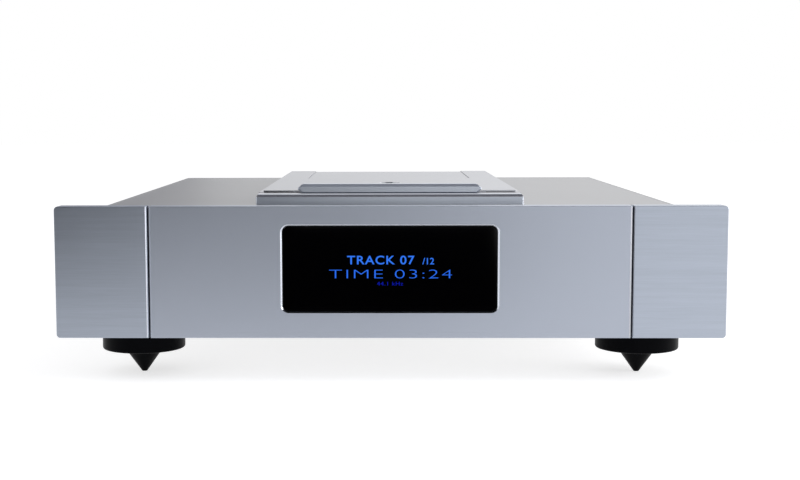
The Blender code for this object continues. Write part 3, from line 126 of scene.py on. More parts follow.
class FinishSettings(bpy.types.PropertyGroup):
    """Colours and roughnesses of the player's finishes."""

    blasted: colour("Blasted aluminium", "Colour of the centre panel", (0.435, 0.47, 0.545))
    blasted_roughness: share("Blasted roughness", "Roughness of the centre panel", 0.42)
    brushed: colour("Brushed aluminium", "Colour of the two wings", (0.415, 0.455, 0.53))
    brushed_roughness: share("Brushed roughness", "Roughness of the two wings", 0.36)
    # The cut chamfers' colour is lighter than the panel's: partly bare cut metal, partly a painted highlight.
    bright_cut: colour("Bright cut", "Colour of the cut chamfers of the front", (0.70, 0.74, 0.81))
    deck: colour("Deck aluminium", "Colour of the deck, the rails and the lid", (0.45, 0.46, 0.495))
    # Lighter and bluer than the deck: painted light on the deck's front face and the handle.
    painted_light_colour: colour("Milled aluminium", "Colour of the deck's front face and the handle", (0.57, 0.615, 0.69))
    deck_roughness: share("Deck roughness", "Roughness of the deck and the lid", 0.34)
    paint: colour("Case paint", "Colour of the case's top, sides and rear", (0.375, 0.378, 0.392))
    paint_roughness: share("Paint roughness", "Roughness of the case's paint", 0.42)
    zinc: colour("Zinc plate", "Colour of the base plate and the inner steel", (0.50, 0.50, 0.50))
    # The slight blue in this near-black is a painted bluish sheen.
    acetal: colour("Black acetal", "Colour of the feet and the puck", (0.0019, 0.0021, 0.0032))
    acetal_roughness: share("Acetal roughness", "Roughness of the turned feet", 0.34)
    moulding: colour("Black moulding", "Colour of the sockets and the disc well", (0.018, 0.018, 0.019))
    glass: colour("Black glass", "Colour of the display window", (0.0006, 0.0006, 0.0010))
    glow: colour("Characters", "Colour of the lit characters", (0.034, 0.185, 0.90))
    thin_glow: colour("Thin characters", "Colour of the wide thin line", (0.026, 0.155, 0.88))
    faint_glow: colour("Faint characters", "Colour of the smallest lit line", (0.004, 0.012, 0.40))


class FrontSettings(bpy.types.PropertyGroup):
    """Edges of the front pieces and the window."""

    edge: length("Edge rounding", "Rounding of the front pieces' edges", 0.0005)
    wing_corner: length("Wing corner", "Radius of the wings' outer corners", 0.0024)
    seam_chamfer: length("Left seam chamfer", "Width of the chamfer on the left wing's inner edge", 0.0011)
    fine_chamfer: length("Right seam chamfer", "Width of the chamfer on the right wing's inner edge", 0.0006)
    panel_chamfer: length("Panel chamfer", "Width of the chamfers on the centre panel's side edges", 0.0010)
    window_corner: length("Window corner", "Radius of the window's corners", 0.004)
    window_chamfer: length("Window chamfer", "Width of the chamfer round the window", 0.0012)
    glass_edge: length("Glass edge", "Rounding of the glass's front edge", 0.0002)


class DisplaySettings(bpy.types.PropertyGroup):
    """The lit characters behind the glass."""

    track: StringProperty(name="Track", description="The bold upper line", default="TRACK 07")
    tracks: StringProperty(name="Tracks", description="The small figures after the bold line", default="/12")
    clock: StringProperty(name="Time", description="The wide middle line", default="TIME 03:24")
    rate: StringProperty(name="Rate", description="The small lower line", default="44.1 kHz")
    cap_height: length("Cap height", "Height of the two larger lines", 0.0056)
    small_height: length("Small height", "Height of the small figures", 0.0042)
    rate_height: length("Rate height", "Height of the lowest line", 0.0024)
    depth: length("Depth", "Thickness of the characters", 0.00004)


class LidSettings(bpy.types.PropertyGroup):
    """Edges of the deck, the lid and its handle."""

    deck_chamfer: length("Deck chamfer", "Width of the chamfer round the deck's top", 0.0012)
    front_chamfer: length("Front chamfer", "Width of the chamfer along the deck's front", 0.0014)
    edge: length("Edge rounding", "Rounding of the lid, the rails and the deck", 0.00025)
    deck_corner: length("Deck corner", "Width of the chamfers on the deck's front corners", 0.0007)
    sill_height: length("Sill height", "Height of the border on the deck before the lid", 0.0004)
    front_round: length("Front rounding", "Radius of the lid's edges", 0.00025)
    opening_edge: length("Opening edge", "Rounding of the well opening's rim", 0.0004)
    scallop_radius: length("Scallop radius", "Radius of the finger scallops", 0.011)
    scallop_place: length("Scallop place", "Distance of the scallops from the spindle", 0.056)
    scallop_depth: length("Scallop depth", "Depth of the finger scallops", 0.0047)
    dimple_radius: length("Dimple radius", "Radius of the finger dimple in the lid", 0.008)
    dimple_depth: length("Dimple depth", "Depth of the finger dimple", 0.0012)
    handle_chamfer: length("Handle chamfer", "Chamfer of the handle bar", 0.0007)
    handle_slope: length("Handle slope", "Width of the slope along the handle's upper front edge", 0.0017)
    handle_point: length("Handle point", "Length of the handle's pointed ends", 0.0034)
    bar_depth: length("Bar depth", "Depth of the handle bar", 0.0105)


class CaseSettings(bpy.types.PropertyGroup):
    """Edges and screws of the case."""

    side_round: length("Side rounding", "Radius along the case's two top edges", 0.0045)
    edge: length("Edge rounding", "Rounding of the case's other edges", 0.0003)
    screw_radius: length("Screw head", "Radius of the case screws' heads", 0.0027)
    screw_height: length("Screw height", "Height of the case screws' heads", 0.0011)
    screw_inset: length("Screw inset", "Distance of the screws from the plate's edge", 0.0055)


class FootSettings(bpy.types.PropertyGroup):
    """Roundings of the feet."""

    collar_round: length("Collar rounding", "Radius of the collar's lower edge", 0.0015)
    top_round: length("Top rounding", "Radius of the collar's upper edge", 0.0005)


class DriveSettings(bpy.types.PropertyGroup):
    """Shapes of the disc well, the puck and the lens."""

    well_fillet: length("Well fillet", "Radius where the well's floor meets its wall", 0.001)
    slot_half_width: length("Slot half width", "Half the width of the lens slot", 0.006)
    slot_inner: length("Slot start", "Distance of the slot from the spindle", 0.0165)
    puck_groove: length("Puck groove", "Depth of the grip grooves round the puck", 0.0004)
    puck_grooves: IntProperty(name="Grooves", description="Grip grooves round the puck", default=4, min=1, max=8)


class SocketSettings(bpy.types.PropertyGroup):
    """Shapes of the rear sockets."""

    flange_corner: length("Flange corner", "Corner radius of the sockets' flanges", 0.003)
    edge: length("Edge rounding", "Rounding of the moulded edges", 0.00035)
    blade_width: length("Blade width", "Thickness of a mains contact", 0.002)
    blade_height: length("Blade height", "Height of a mains contact", 0.004)
    blade_spacing: length("Blade spacing", "Distance of the outer contacts from the middle", 0.007)
    pin_radius: length("Pin radius", "Radius of a balanced socket's pin", 0.0012)
    nut_across: length("Nut width", "Width of the jack's nut across its corners", 0.0128)


class StudioSettings(bpy.types.PropertyGroup):
    """The camera and the lights."""

    lens: share("Lens", "Focal length in millimetres", 60.477)
    sensor: share("Sensor", "Sensor width in millimetres", 36)
    shift: FloatProperty(name="Shift", description="Sideways shift of the lens", default=0.0474)
    drop: FloatProperty(name="Drop", description="Vertical shift of the lens", default=-0.00045)
    place: FloatVectorProperty(
        name="Camera place", description="Where the camera stands", unit="LENGTH",
        default=(-0.00292, -1.04989, 0.17228),
    )
    angles: FloatVectorProperty(
        name="Camera angles", description="How the camera is turned", subtype="EULER",
        default=(math.radians(84.557), math.radians(0.15), math.radians(0.973)),
    )
    key: share("Key light", "Power of the large light at the right", 20.0)
    top: share("Back light", "Power of the light high behind", 3.0)
    fill: share("Fill light", "Power of the light at the left", 2.0)
    sky: share("Sky", "Strength of the even light all round", 0.55)


class PlayerSettings(bpy.types.PropertyGroup):
    """All the settings of the player."""

    finishes: PointerProperty(type=FinishSettings)
    front: PointerProperty(type=FrontSettings)
    display: PointerProperty(type=DisplaySettings)
    lid: PointerProperty(type=LidSettings)
    case: PointerProperty(type=CaseSettings)
    foot: PointerProperty(type=FootSettings)
    drive: PointerProperty(type=DriveSettings)
    socket: PointerProperty(type=SocketSettings)
    studio: PointerProperty(type=StudioSettings)


def settings():
    return bpy.context.scene.cd_player


# Nodes and finishes


def fill(tree, node, inputs):
    """Sets or links a node's inputs."""
    for name, value in inputs.items():
        value = getattr(value, "socket", value)
        if isinstance(value, bpy.types.NodeSocket):
            tree.links.new(value, node.inputs[name])
        else:
            node.inputs[name].default_value = value


def add_node(tree, kind, inputs=None, output=0, **choices):
    """Adds a node with its choices made first, and gives one of its outputs."""
    node = tree.nodes.new(kind)
    for name, value in choices.items():
        setattr(node, name, value)
    fill(tree, node, inputs or {})
    return node.outputs[output]


class Wire:
    """A shader socket that can be used in sums and products."""

    def __init__(self, paint, socket):
        self.paint = paint
        self.socket = socket

    def __add__(self, other):
        return self.paint.maths("ADD", self, other)

    def __sub__(self, other):
        return self.paint.maths("SUBTRACT", self, other)

    def __mul__(self, other):
        return self.paint.maths("MULTIPLY", self, other)


class Paint:
    """One material and its node tree, with a Principled shader as its surface."""

    def __init__(self, name, colour, roughness, metallic=0.0, specular=0.5, coat=0.0):
        self.material = bpy.data.materials.new(name)
        self.material.use_nodes = True
        self.material.diffuse_color = (*colour, 1)
        self.tree = self.material.node_tree
        self.colour, self.roughness = tuple(colour), roughness
        self.cover({"Base Color": (*colour, 1), "Roughness": roughness, "Metallic": metallic})
        self.cover({"Specular IOR Level": specular, "Coat Weight": coat})

    def cover(self, inputs):
        """Sets or links inputs of the surface."""
        fill(self.tree, self.tree.nodes["Principled BSDF"], inputs)

    def add(self, kind, inputs=None, output=0, **choices):
        """Adds a shader node and gives one of its outputs."""
        return Wire(self, add_node(self.tree, "ShaderNode" + kind, inputs, output, **choices))

    def maths(self, operation, first, second):
        return self.add("Math", {0: first, 1: second}, operation=operation)

    def noise(self, scales, detail=1.0, roughness=0.5):
        """Cloudy values round zero, finer along an axis the larger its scale."""
        place = self.add("Mapping", {"Vector": self.add("TexCoord", output="Object"), "Scale": scales})
        return self.add("TexNoise", {"Vector": place, "Scale": 1.0, "Detail": detail, "Roughness": roughness}) - 0.5

    def scaled(self, colour, factor):
        return self.add("VectorMath", {0: tuple(colour), "Scale": factor}, operation="SCALE")

    def vary(self, tint, change):
        """Multiplies the base colour by a changing factor and adds a changing value to the roughness."""
        self.cover({"Base Color": self.scaled(self.colour, tint), "Roughness": change + self.roughness})

    def raise_by(self, height, depth):
        """Bumps the surface by a height that runs over about a unit, times a depth in metres."""
        self.cover({"Normal": self.add("Bump", {"Height": height, "Distance": depth, "Strength": 1.0})})


def grained(name, colour, roughness, metallic, grain, depth, contrast, cloud=0.02, coat=0.0):
    """An even fine grain, as on blasted or painted metal and on mouldings."""
    paint = Paint(name, colour, roughness, metallic, coat=coat)
    fine = paint.noise((1 / grain,) * 3, 2.0, 0.6)
    broad = paint.noise((14, 14, 14))
    paint.vary(fine * contrast + broad * cloud + 1.0, fine * 0.06 + broad * 0.04)
    paint.raise_by(fine, depth)
    return paint.material


def streaked(name, colour, roughness, metallic, scales, depth, contrast, specular=0.5):
    """Fine parallel lines, as brushing or turning leaves them."""
    paint = Paint(name, colour, roughness, metallic, specular)
    lines = paint.noise(scales, 3.0, 0.65)
    broken = paint.noise(tuple(value / 5 for value in scales))
    broad = paint.noise((9, 9, 9))
    paint.vary(lines * contrast + broken * (contrast / 2) + broad * 0.03 + 1.0, lines * 0.10 + broad * 0.05)
    paint.raise_by(lines, depth)
    return paint.material


def board_paint(name, colour):
    """Green solder mask with lighter tracks under it."""
    paint = Paint(name, colour, 0.38)
    tracks = paint.noise((900, 70, 1)) + paint.noise((70, 900, 1))
    edge = paint.add("MapRange", {"Value": tracks, "From Min": 0.05, "From Max": 0.10}, clamp=True)
    paint.cover({"Base Color": paint.scaled(colour, edge * 0.8 + 0.9)})
    paint.raise_by(edge, 0.00003)
    return paint.material


def glass_paint(name, colour):
    """Polished black glass with the faintest haze."""
    paint = Paint(name, colour, 0.045, specular=0.2)
    paint.cover({"Roughness": paint.noise((25, 25, 25), 3.0) * 0.02 + paint.roughness})
    return paint.material


def glowing(name, colour):
    """Lit characters with a slightly uneven glow."""
    paint = Paint(name, (0.0, 0.0, 0.0), 0.5, specular=0.0)
    uneven = paint.noise((400, 400, 400)) * 0.15 + 1.0
    paint.cover({"Emission Color": paint.scaled(colour, uneven), "Emission Strength": 1.0})
    return paint.material


FINISHES = {}


def make_finishes():
    """Every finish of the player, by the name of the record's slot or of its use."""
    hues = settings().finishes
    along_x, turned_lines, cut_lines, cut_roughness = (36, 2300, 2300), (10, 10, 3600), (300, 300, 2600), 0.16
    # Colour, roughness, metal, size and depth of the grain, contrast, cloudiness and coat
    grains = {
        "blasted_front": (hues.blasted, hues.blasted_roughness, 1.0, 0.00042, 0.000012, 0.07),
        "brushed_deck": (hues.deck, hues.deck_roughness, 1.0, 0.00035, 0.000006, 0.04),
        "painted_case": (hues.paint, hues.paint_roughness, 0.9, 0.0004, 0.000008, 0.04),
        "zinc_steel": (hues.zinc, 0.36, 1.0, 0.0015, 0.000010, 0.12, 0.10),
        "black_plastic": (hues.moulding, 0.42, 0.0, 0.0003, 0.000012, 0.20),
        "black_rubber": ((0.02, 0.02, 0.02), 0.75, 0.0, 0.0002, 0.00001, 0.3),
        "plated_brass": ((0.83, 0.60, 0.25), 0.20, 1.0, 0.0006, 0.000004, 0.05),
        "white_nylon": ((0.80, 0.80, 0.76), 0.45, 0.0, 0.0005, 0.00001, 0.04),
        "clear_lens": ((0.06, 0.05, 0.16), 0.03, 0.0, 0.004, 0.000001, 0.2, 0.02, 1.0),
        "black_screw": ((0.02, 0.02, 0.02), 0.30, 0.6, 0.0004, 0.000008, 0.2),
        "steel_pin": ((0.66, 0.65, 0.62), 0.22, 1.0, 0.0005, 0.000004, 0.05),
        "red_insulator": ((0.42, 0.02, 0.015), 0.35, 0.0, 0.0004, 0.000006, 0.1),
        "white_insulator": ((0.70, 0.70, 0.68), 0.38, 0.0, 0.0004, 0.000006, 0.05),
        "amber_insulator": ((0.65, 0.20, 0.02), 0.35, 0.0, 0.0004, 0.000006, 0.1),
        "white_ink": ((0.75, 0.75, 0.74), 0.55, 0.0, 0.0004, 0.000004, 0.05),
    }
    # Colour, roughness, metal, scales and depth of the lines, contrast and specular level
    streaks = {
        "brushed_front": (hues.brushed, hues.brushed_roughness, 1.0, along_x, 0.000010, 0.24),
        # Lighter cut chamfers: bare cut metal with a painted highlight on top.
        "bright_cut": (hues.bright_cut, cut_roughness, 1.0, cut_lines, 0.000003, 0.06),
        "fine_cut": (hues.deck, cut_roughness, 1.0, cut_lines, 0.000003, 0.06),
        # A lighter copy of the deck's finish for its front faces: painted light.
        "milled_face": (hues.painted_light_colour, hues.deck_roughness, 1.0, along_x, 0.000006, 0.12),
        # The acetal's slight blue is a painted sheen.
        "black_delrin": (hues.acetal, hues.acetal_roughness, 0.0, turned_lines, 0.000006, 0.25, 0.035),
        "polished_steel": ((0.70, 0.70, 0.71), 0.14, 1.0, turned_lines, 0.000003, 0.04),
        "transformer_wrap": ((0.62, 0.34, 0.16), 0.35, 0.0, (40, 40, 700), 0.00004, 0.2),
    }
    FINISHES.update({name: grained(name, *values) for name, values in grains.items()})
    FINISHES.update({name: streaked(name, *values) for name, values in streaks.items()})
    FINISHES["black_glass"] = glass_paint("black_glass", hues.glass)
    FINISHES["green_board"] = board_paint("green_board", (0.015, 0.11, 0.045))
    glows = {"characters": hues.glow, "thin_characters": hues.thin_glow, "faint_characters": hues.faint_glow}
    FINISHES.update({name: glowing(name, colour) for name, colour in glows.items()})


# Shapes


def arc(centre, radius, start, end, steps):
    """Points on an arc, with both ends."""
    angles = [start + (end - start) * index / steps for index in range(steps + 1)]
    return [(centre[0] + radius * math.cos(angle), centre[1] + radius * math.sin(angle)) for angle in angles]


def circle(centre, radius, steps=TURN_STEPS):
    return arc(centre, radius, 0, math.tau, steps)[:-1]


def rounded_rectangle(x_span, y_span, radii):
    """A rectangle with a radius at each corner from the lower left one, anticlockwise."""
    (left, right), (low, high) = x_span, y_span
    corners = [(left, low, 1, 1), (right, low, -1, 1), (right, high, -1, -1), (left, high, 1, -1)]
    points = []
    for index, ((x, y, inward_x, inward_y), radius) in enumerate(zip(corners, radii)):
        if radius <= 0:
            points.append((x, y))
            continue
        start = math.pi + index * math.pi / 2
        centre = (x + inward_x * radius, y + inward_y * radius)
        points += arc(centre, radius, start, start + math.pi / 2, CORNER_STEPS)
    return points


def shrinking_rectangle(x_span, y_span, radii):
    """A function that gives the rounded rectangle drawn in by an inset."""

    def outline(inset):
        x = (x_span[0] + inset, x_span[1] - inset)
        y = (y_span[0] + inset, y_span[1] - inset)
        return rounded_rectangle(x, y, [max(HAIRLINE, radius - inset) if radius else 0 for radius in radii])

    return outline


def shrinking_circle(centre, radius, steps=TURN_STEPS):
    """A function that gives the circle drawn in by an inset."""
    return lambda inset: circle(centre, radius - inset, steps)


def edge_levels(low, high, low_edge, high_edge):
    """(inset, depth) levels of a wall between two depths, with its two edges rounded."""
    quarters = [math.pi / 2 * index / EDGE_STEPS for index in range(EDGE_STEPS + 1)]
    first = [(low_edge * (1 - math.sin(a)), low + low_edge * (1 - math.cos(a))) for a in quarters]
    last = [(high_edge * (1 - math.cos(a)), high - high_edge * (1 - math.sin(a))) for a in quarters]
    return (first if low_edge else [(0, low)]) + (last if high_edge else [(0, high)])


LIFTS = {
    "x": lambda first, second, depth: (depth, first, second),
    "y": lambda first, second, depth: (first, depth, second),
    "z": lambda first, second, depth: (first, second, depth),
}


def wall(shape, outline, levels, facing):
    """Adds a wall that follows an outline through its levels. Returns the first and the last ring."""
    lift = LIFTS[facing]
    rings = [[shape.verts.new(lift(*point, depth)) for point in outline(inset)] for inset, depth in levels]
    for near, far in zip(rings, rings[1:]):
        for index in range(len(near)):
            after = (index + 1) % len(near)
            shape.faces.new((near[index], near[after], far[after], far[index]))
    return rings[0], rings[-1]


def cap(shape, rings):
    """Closes the flat face inside a ring, round any holes."""
    if len(rings) == 1:
        shape.faces.new(rings[0])
        return
    edges = [shape.edges.get((ring[index - 1], ring[index])) for ring in rings for index in range(len(ring))]
    bmesh.ops.triangle_fill(shape, use_beauty=True, edges=edges)


def pierced_plate(facing, outer, holes=()):
    """A plate from walls: each is an outline and its levels. The first is outside and the others are holes."""
    shape = bmesh.new()
    ends = [wall(shape, outline, levels, facing) for outline, levels in (outer, *holes)]
    cap(shape, [first for first, _ in ends])
    cap(shape, [last for _, last in ends])
    return shape


def plate(x, z, y, radii, edges, holes=()):
    """An upright plate with rounded corners, eased at its front and rear edges."""
    return pierced_plate("y", (shrinking_rectangle(x, z, radii), edge_levels(*y, *edges)), holes)


def prism(outline, span, facing, edge=0.0):
    """A straight piece with a flat section, its sharp edges eased."""
    shape = pierced_plate(facing, (lambda inset: outline, [(0, span[0]), (0, span[1])]))
    bmesh.ops.recalc_face_normals(shape, faces=shape.faces)
    if edge:
        ease(shape, edge)
    return shape


def ease(shape, width, steps=EDGE_STEPS, angle=SHARP_ANGLE):
    """Rounds the shape's sharp edges."""
    sharp = [edge for edge in shape.edges if len(edge.link_faces) == 2 and edge.calc_face_angle(0) > angle]
    bmesh.ops.bevel(
        shape, geom=sharp, offset=width, segments=steps, profile=0.5, affect="EDGES", clamp_overlap=True
    )


def box(x_span, y_span, z_span, edge=0.0):
    """A block with eased edges."""
    shape = bmesh.new()
    block = (x_span, y_span, z_span)
    sizes = [high - low for low, high in block]
    place = Matrix.Translation([middle(span) for span in block])
    bmesh.ops.create_cube(shape, size=1, matrix=place @ Matrix.Diagonal((*sizes, 1)))
    if edge:
        ease(shape, edge)
    return shape


def lean(shape, angle):
    """Turns a shape about the x axis, and gives the turn."""
    turn = Matrix.Rotation(angle, 3, "X")
    bmesh.ops.rotate(shape, cent=(0, 0, 0), matrix=turn, verts=shape.verts)
    return turn


def turned(profile, centre, steps=TURN_STEPS, lying=False):
    """A profile of (radius, height) points turned round an upright axis, or one along y when lying."""
    shape = bmesh.new()
    rings = []
    for radius, height in profile:
        points = circle((0, 0), radius, steps) if radius > 0 else [(0, 0)]
        rings.append([shape.verts.new((x, y, height)) for x, y in points])
    for near, far in zip(rings, rings[1:]):
        for index in range(steps):
            after = (index + 1) % steps
            loop = [near[index % len(near)], near[after % len(near)], far[after % len(far)], far[index % len(far)]]
            corners = list(dict.fromkeys(loop))
            if len(corners) > 2:
                shape.faces.new(corners)
    if lying:
        lean(shape, -math.pi / 2)
    bmesh.ops.translate(shape, vec=centre, verts=shape.verts)
    bmesh.ops.recalc_face_normals(shape, faces=shape.faces)
    return shape


def merged(shape):
    """The shape, with corners that lie on each other made one."""
    bmesh.ops.remove_doubles(shape, verts=shape.verts, dist=MERGE_DISTANCE)
    return shape


def turned_ring(section, centre, steps=TURN_STEPS, lying=False):
    """A closed section turned round its axis."""
    return merged(turned([*section, section[0]], centre, steps, lying))


def drum(radius, span, centre, steps=TURN_STEPS, lying=False):
    """A plain cylinder between two heights."""
    return turned([(0, span[0]), (radius, span[0]), (radius, span[1]), (0, span[1])], centre, steps, lying)


def filleted(points, radius, steps=4):
    """The same line of points, with its inner corners rounded."""
    made = [points[0]]
    for before, here, after in zip(points, points[1:], points[2:]):
        here, back, ahead = Vector(here), Vector(before) - Vector(here), Vector(after) - Vector(here)
        turn = back.angle(ahead)
        if turn > math.pi - 0.1:
            made.append(tuple(here))
            continue
        reach = min(radius / math.tan(turn / 2), 0.45 * back.length, 0.45 * ahead.length)
        start, end = here + back.normalized() * reach, here + ahead.normalized() * reach
        for index in range(steps + 1):
            t = index / steps
            made.append(tuple((1 - t) ** 2 * start + 2 * t * (1 - t) * here + t * t * end))
    return [*made, points[-1]]


def mesh_of(shape, name="shape"):
    """The shape as a mesh, with its faces pointing out."""
    mesh = bpy.data.meshes.new(name)
    bmesh.ops.recalc_face_normals(shape, faces=shape.faces)
    shape.to_mesh(mesh)
    shape.free()
    return mesh


def guide(mesh, name="guide"):
    """An object that holds a mesh while it is worked on."""
    made = bpy.data.objects.new(name, mesh)
    bpy.context.scene.collection.objects.link(made)
    return made


def baked(worked, *helpers):
    """The mesh that an object's modifiers give. The object and its helpers are then removed."""
    bpy.context.view_layer.update()
    graph = bpy.context.evaluated_depsgraph_get()
    mesh = bpy.data.meshes.new_from_object(worked.evaluated_get(graph))
    mesh.transform(worked.matrix_world)
    for used in (worked, *helpers):
        bpy.data.objects.remove(used, do_unlink=True)
    return mesh


def combined(base, additions=(), cutters=()):
    """A mesh of a shape with other shapes joined to it and cut from it."""
    worked = guide(mesh_of(base))
    helpers = []
    for shapes, operation in ((additions, "UNION"), (cutters, "DIFFERENCE")):
        for shape in shapes:
            helper = guide(mesh_of(shape))
            step = worked.modifiers.new(operation, "BOOLEAN")
            step.operation = operation
            step.solver = "EXACT"
            step.object = helper
            helpers.append(helper)
    return baked(worked, *helpers)


def piece(name, form, finish, body="player", slot=None, replaced=()):
    """Puts a finished shape or mesh in the scene, on its body and in place of the nodes it stands for."""
    mesh = form if isinstance(form, bpy.types.Mesh) else mesh_of(form)
    mesh.materials.clear()
    mesh.materials.append(FINISHES[finish])
    mesh.shade_smooth()
    mesh.set_sharp_from_angle(angle=SHARP_ANGLE)
    worked = guide(mesh)
    even = worked.modifiers.new("even", "WEIGHTED_NORMAL")
    even.keep_sharp = True
    mesh = baked(worked)
    mesh.name = name
    made = guide(mesh, name)
    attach(made, body)
    if replaced:
        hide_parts(*replaced)
    slot or (finish if finish in SLOTS else "black_plastic")


def paint_nodes():
    """Gives the carried-over nodes the finish of their slot."""
    for entry in FRAME["record"]["subparts"]:
        materials = NODES[entry["node"]].data.materials
        materials.clear()
        materials.append(FINISHES[entry["material_slot"]])


def spans(node):
    """A node's x, y and z spans."""
    low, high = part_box(node)
    return [(low[axis], high[axis]) for axis in range(3)]


def middle(span):
    return (span[0] + span[1]) / 2


def round_node(name):
    """A round node's centre, its radius and its z span."""
    x, y, z = spans(name)
    return (middle(x), middle(y), 0), half_width(x), z


def half_width(span):
    return (span[1] - span[0]) / 2


def grown(span, by):
    return (span[0] - by, span[1] + by)


def around(place, half):
    return (place - half, place + half)


# Front


def seam_chamfer(seam, inward, y, z, chamfer, slope=1.0, face_z=None):
    """The wedge that cuts a chamfer along a seam, and a thin strip that lies on the cut."""
    front = settings().front
    thick, depth = CUT_THICKNESS, chamfer * slope
    outer_end, inner_end = seam + inward * chamfer, seam - inward * OVERRUN
    face = [(outer_end, y[0]), (seam, y[0] + depth)]
    before = y[0] - OVERRUN
    wedge = [*face, (inner_end, y[0] + depth + OVERRUN * slope), (inner_end, before), (outer_end, before)]
    face += [(across - inward * thick, along - thick) for across, along in reversed(face)]
    return prism(wedge, grown(z, OVERRUN), "z"), prism(face, face_z or grown(z, -front.edge), "z")


def make_centre_panel():
    """The blasted panel with its chamfered window opening and seams."""
    front = settings().front
    x, y, z = spans("front_centre_panel")
    glass_x, _, glass_z = spans("display_window")
    rectangle = shrinking_rectangle(grown(glass_x, GAP), grown(glass_z, GAP), (front.window_corner,) * 4)
    centre, half = middle(glass_z), (glass_z[1] - glass_z[0]) / 2 + GAP

    def opening(inset):
        """The opening's outline, with less of the chamfer along its bottom."""
        lower = (half - inset * SILL_SHARE) / (half - inset)
        return [(across, centre + (up - centre) * (lower if up < centre else 1)) for across, up in rectangle(inset)]

    chamfer, thick = front.window_chamfer, CUT_THICKNESS
    hole = (opening, [(-chamfer, y[0]), (0, y[0] + chamfer), (0, y[1])])
    shape = plate(x, z, y, (0, 0, 0, 0), (front.edge, front.edge), [hole])
    left_wedge, _ = seam_chamfer(x[0], 1, y, z, front.panel_chamfer, PANEL_SLOPE)
    right_wedge, strip = seam_chamfer(x[1], -1, y, z, front.panel_chamfer, PANEL_SLOPE)
    piece("centre_seam_cut", strip, "fine_cut", slot="blasted_front")
    shape = combined(shape, cutters=[left_wedge, right_wedge])
    piece("centre_panel_skin", shape, "blasted_front", replaced=["front_centre_panel"])
    cut = [(-chamfer, y[0] - thick), (0, y[0] + chamfer - thick)]
    behind = [(inset - thick, depth + thick) for inset, depth in cut]
    ring = bmesh.new()
    for first, second in zip(wall(ring, opening, cut, "y"), wall(ring, opening, behind, "y")):
        for index in range(len(first)):
            ring.faces.new((first[index - 1], first[index], second[index], second[index - 1]))
    bmesh.ops.recalc_face_normals(ring, faces=ring.faces)
    # The bevel ring takes the lighter cut finish: bare cut metal with a painted highlight.
    piece("window_bevel", ring, "bright_cut", slot="blasted_front")


def make_wings():
    """The two brushed wings, rounded at their outer corners and chamfered along the seams."""
    front = settings().front
    corner = front.wing_corner
    for side, radii in (("left", (corner, 0, 0, corner)), ("right", (0, corner, corner, 0))):
        node = side + "_front_wing"
        x, y, z = spans(node)
        wing = plate(x, z, y, radii, (front.edge, front.edge))
        if side == "left":
            wedge, strip = seam_chamfer(x[1], -1, y, z, front.seam_chamfer)
            # Only the left seam's strip takes the lighter cut finish: a painted highlight; the right seams stay
            # darker.
            piece("left_seam_cut", strip, "bright_cut", slot="brushed_front")
        else:
            wedge, _ = seam_chamfer(x[0], 1, y, z, front.fine_chamfer)
        piece(side + "_wing_skin", combined(wing, cutters=[wedge]), "brushed_front", replaced=[node])


def make_window():
    """The black glass, with softly ground edges."""
    front = settings().front
    x, y, z = spans("display_window")
    glass = plate(x, z, y, (front.window_corner - GAP,) * 4, (front.glass_edge, front.glass_edge))
    piece("display_glass", glass, "black_glass", replaced=["display_window"])


def words(name, text, finish, height, low, spread=None, right=None, weight=0.0):
    """A line of characters on the glass, of one height, over a spread or up to a right edge."""
    display = settings().display
    curve = bpy.data.curves.new(name, "FONT")
    curve.body = text
    curve.offset = weight
    curve.space_character = SPREAD_SPACING if spread else 1.0
    curve.extrude = 0
    curve.resolution_u = 6
    shape = bmesh.new()
    shape.from_mesh(baked(guide(curve, name + "_guide")))
    wide, tall = [[vert.co[axis] for vert in shape.verts] for axis in (0, 1)]
    scale = height / (max(tall) - min(tall))
    across = (spread[1] - spread[0]) / (max(wide) - min(wide)) if spread else scale
    shift = spread[0] - min(wide) * across if spread else right - max(wide) * across
    lift = low - min(tall) * scale
    face = spans("display_window")[1][0] - display.depth
    for vert in shape.verts:
        vert.co = Vector((vert.co.x * across + shift, face, vert.co.y * scale + lift))
    made = bmesh.ops.extrude_face_region(shape, geom=list(shape.faces))["geom"]
    moved = [part for part in made if isinstance(part, bmesh.types.BMVert)]
    bmesh.ops.translate(shape, vec=(0, display.depth, 0), verts=moved)
    piece(name, shape, finish, slot="black_glass")


def make_characters():
    """Track, time and sampling rate, lit in blue, at heights over the panel's lower edge."""
    display = settings().display
    base = spans("front_centre_panel")[2][0]
    upper, wide, lower = base + 0.0470, base + 0.0381, base + 0.0336
    large, small = display.cap_height, display.small_height
    words("track_number", display.track, "characters", large, upper, (-0.0270, 0.0156), weight=0.012)
    words("track_count", display.tracks, "characters", small, upper, right=0.0280, weight=0.008)
    words("track_time", display.clock, "thin_characters", large, wide, (-0.0384, 0.0393), weight=-0.020)
    words("sampling_rate", display.rate, "faint_characters", display.rate_height, lower, (-0.0081, 0.0084))


# Case


def make_sides():
    """The side panels: one rounded section each, with rabbets for the cover and the base."""
    case = settings().case
    cover_x, _, cover_z = spans("top_cover")
    _, _, base_z = spans("base_plate")
    inner = spans("rear_panel")[0][1] + GAP
    ledge = cover_x[1] + GAP
    for name, side in (("left", -1), ("right", 1)):
        node = name + "_side_panel"
        x, y, z = spans(node)
        outer = max(abs(x[0]), abs(x[1]))
        high_ledge, low_ledge = cover_z[0] - GAP, base_z[1] + GAP
        centre = (outer - case.side_round, z[1] - case.side_round)
        section = [(ledge, z[0]), (outer, z[0]), *arc(centre, case.side_round, 0, math.pi / 2, 16)]
        section += [(ledge, z[1]), (ledge, high_ledge), (inner, high_ledge), (inner, low_ledge), (ledge, low_ledge)]
        shape = prism([(side * across, up) for across, up in section], y, "y", case.edge)
        piece(name + "_side_skin", shape, "painted_case", replaced=[node])


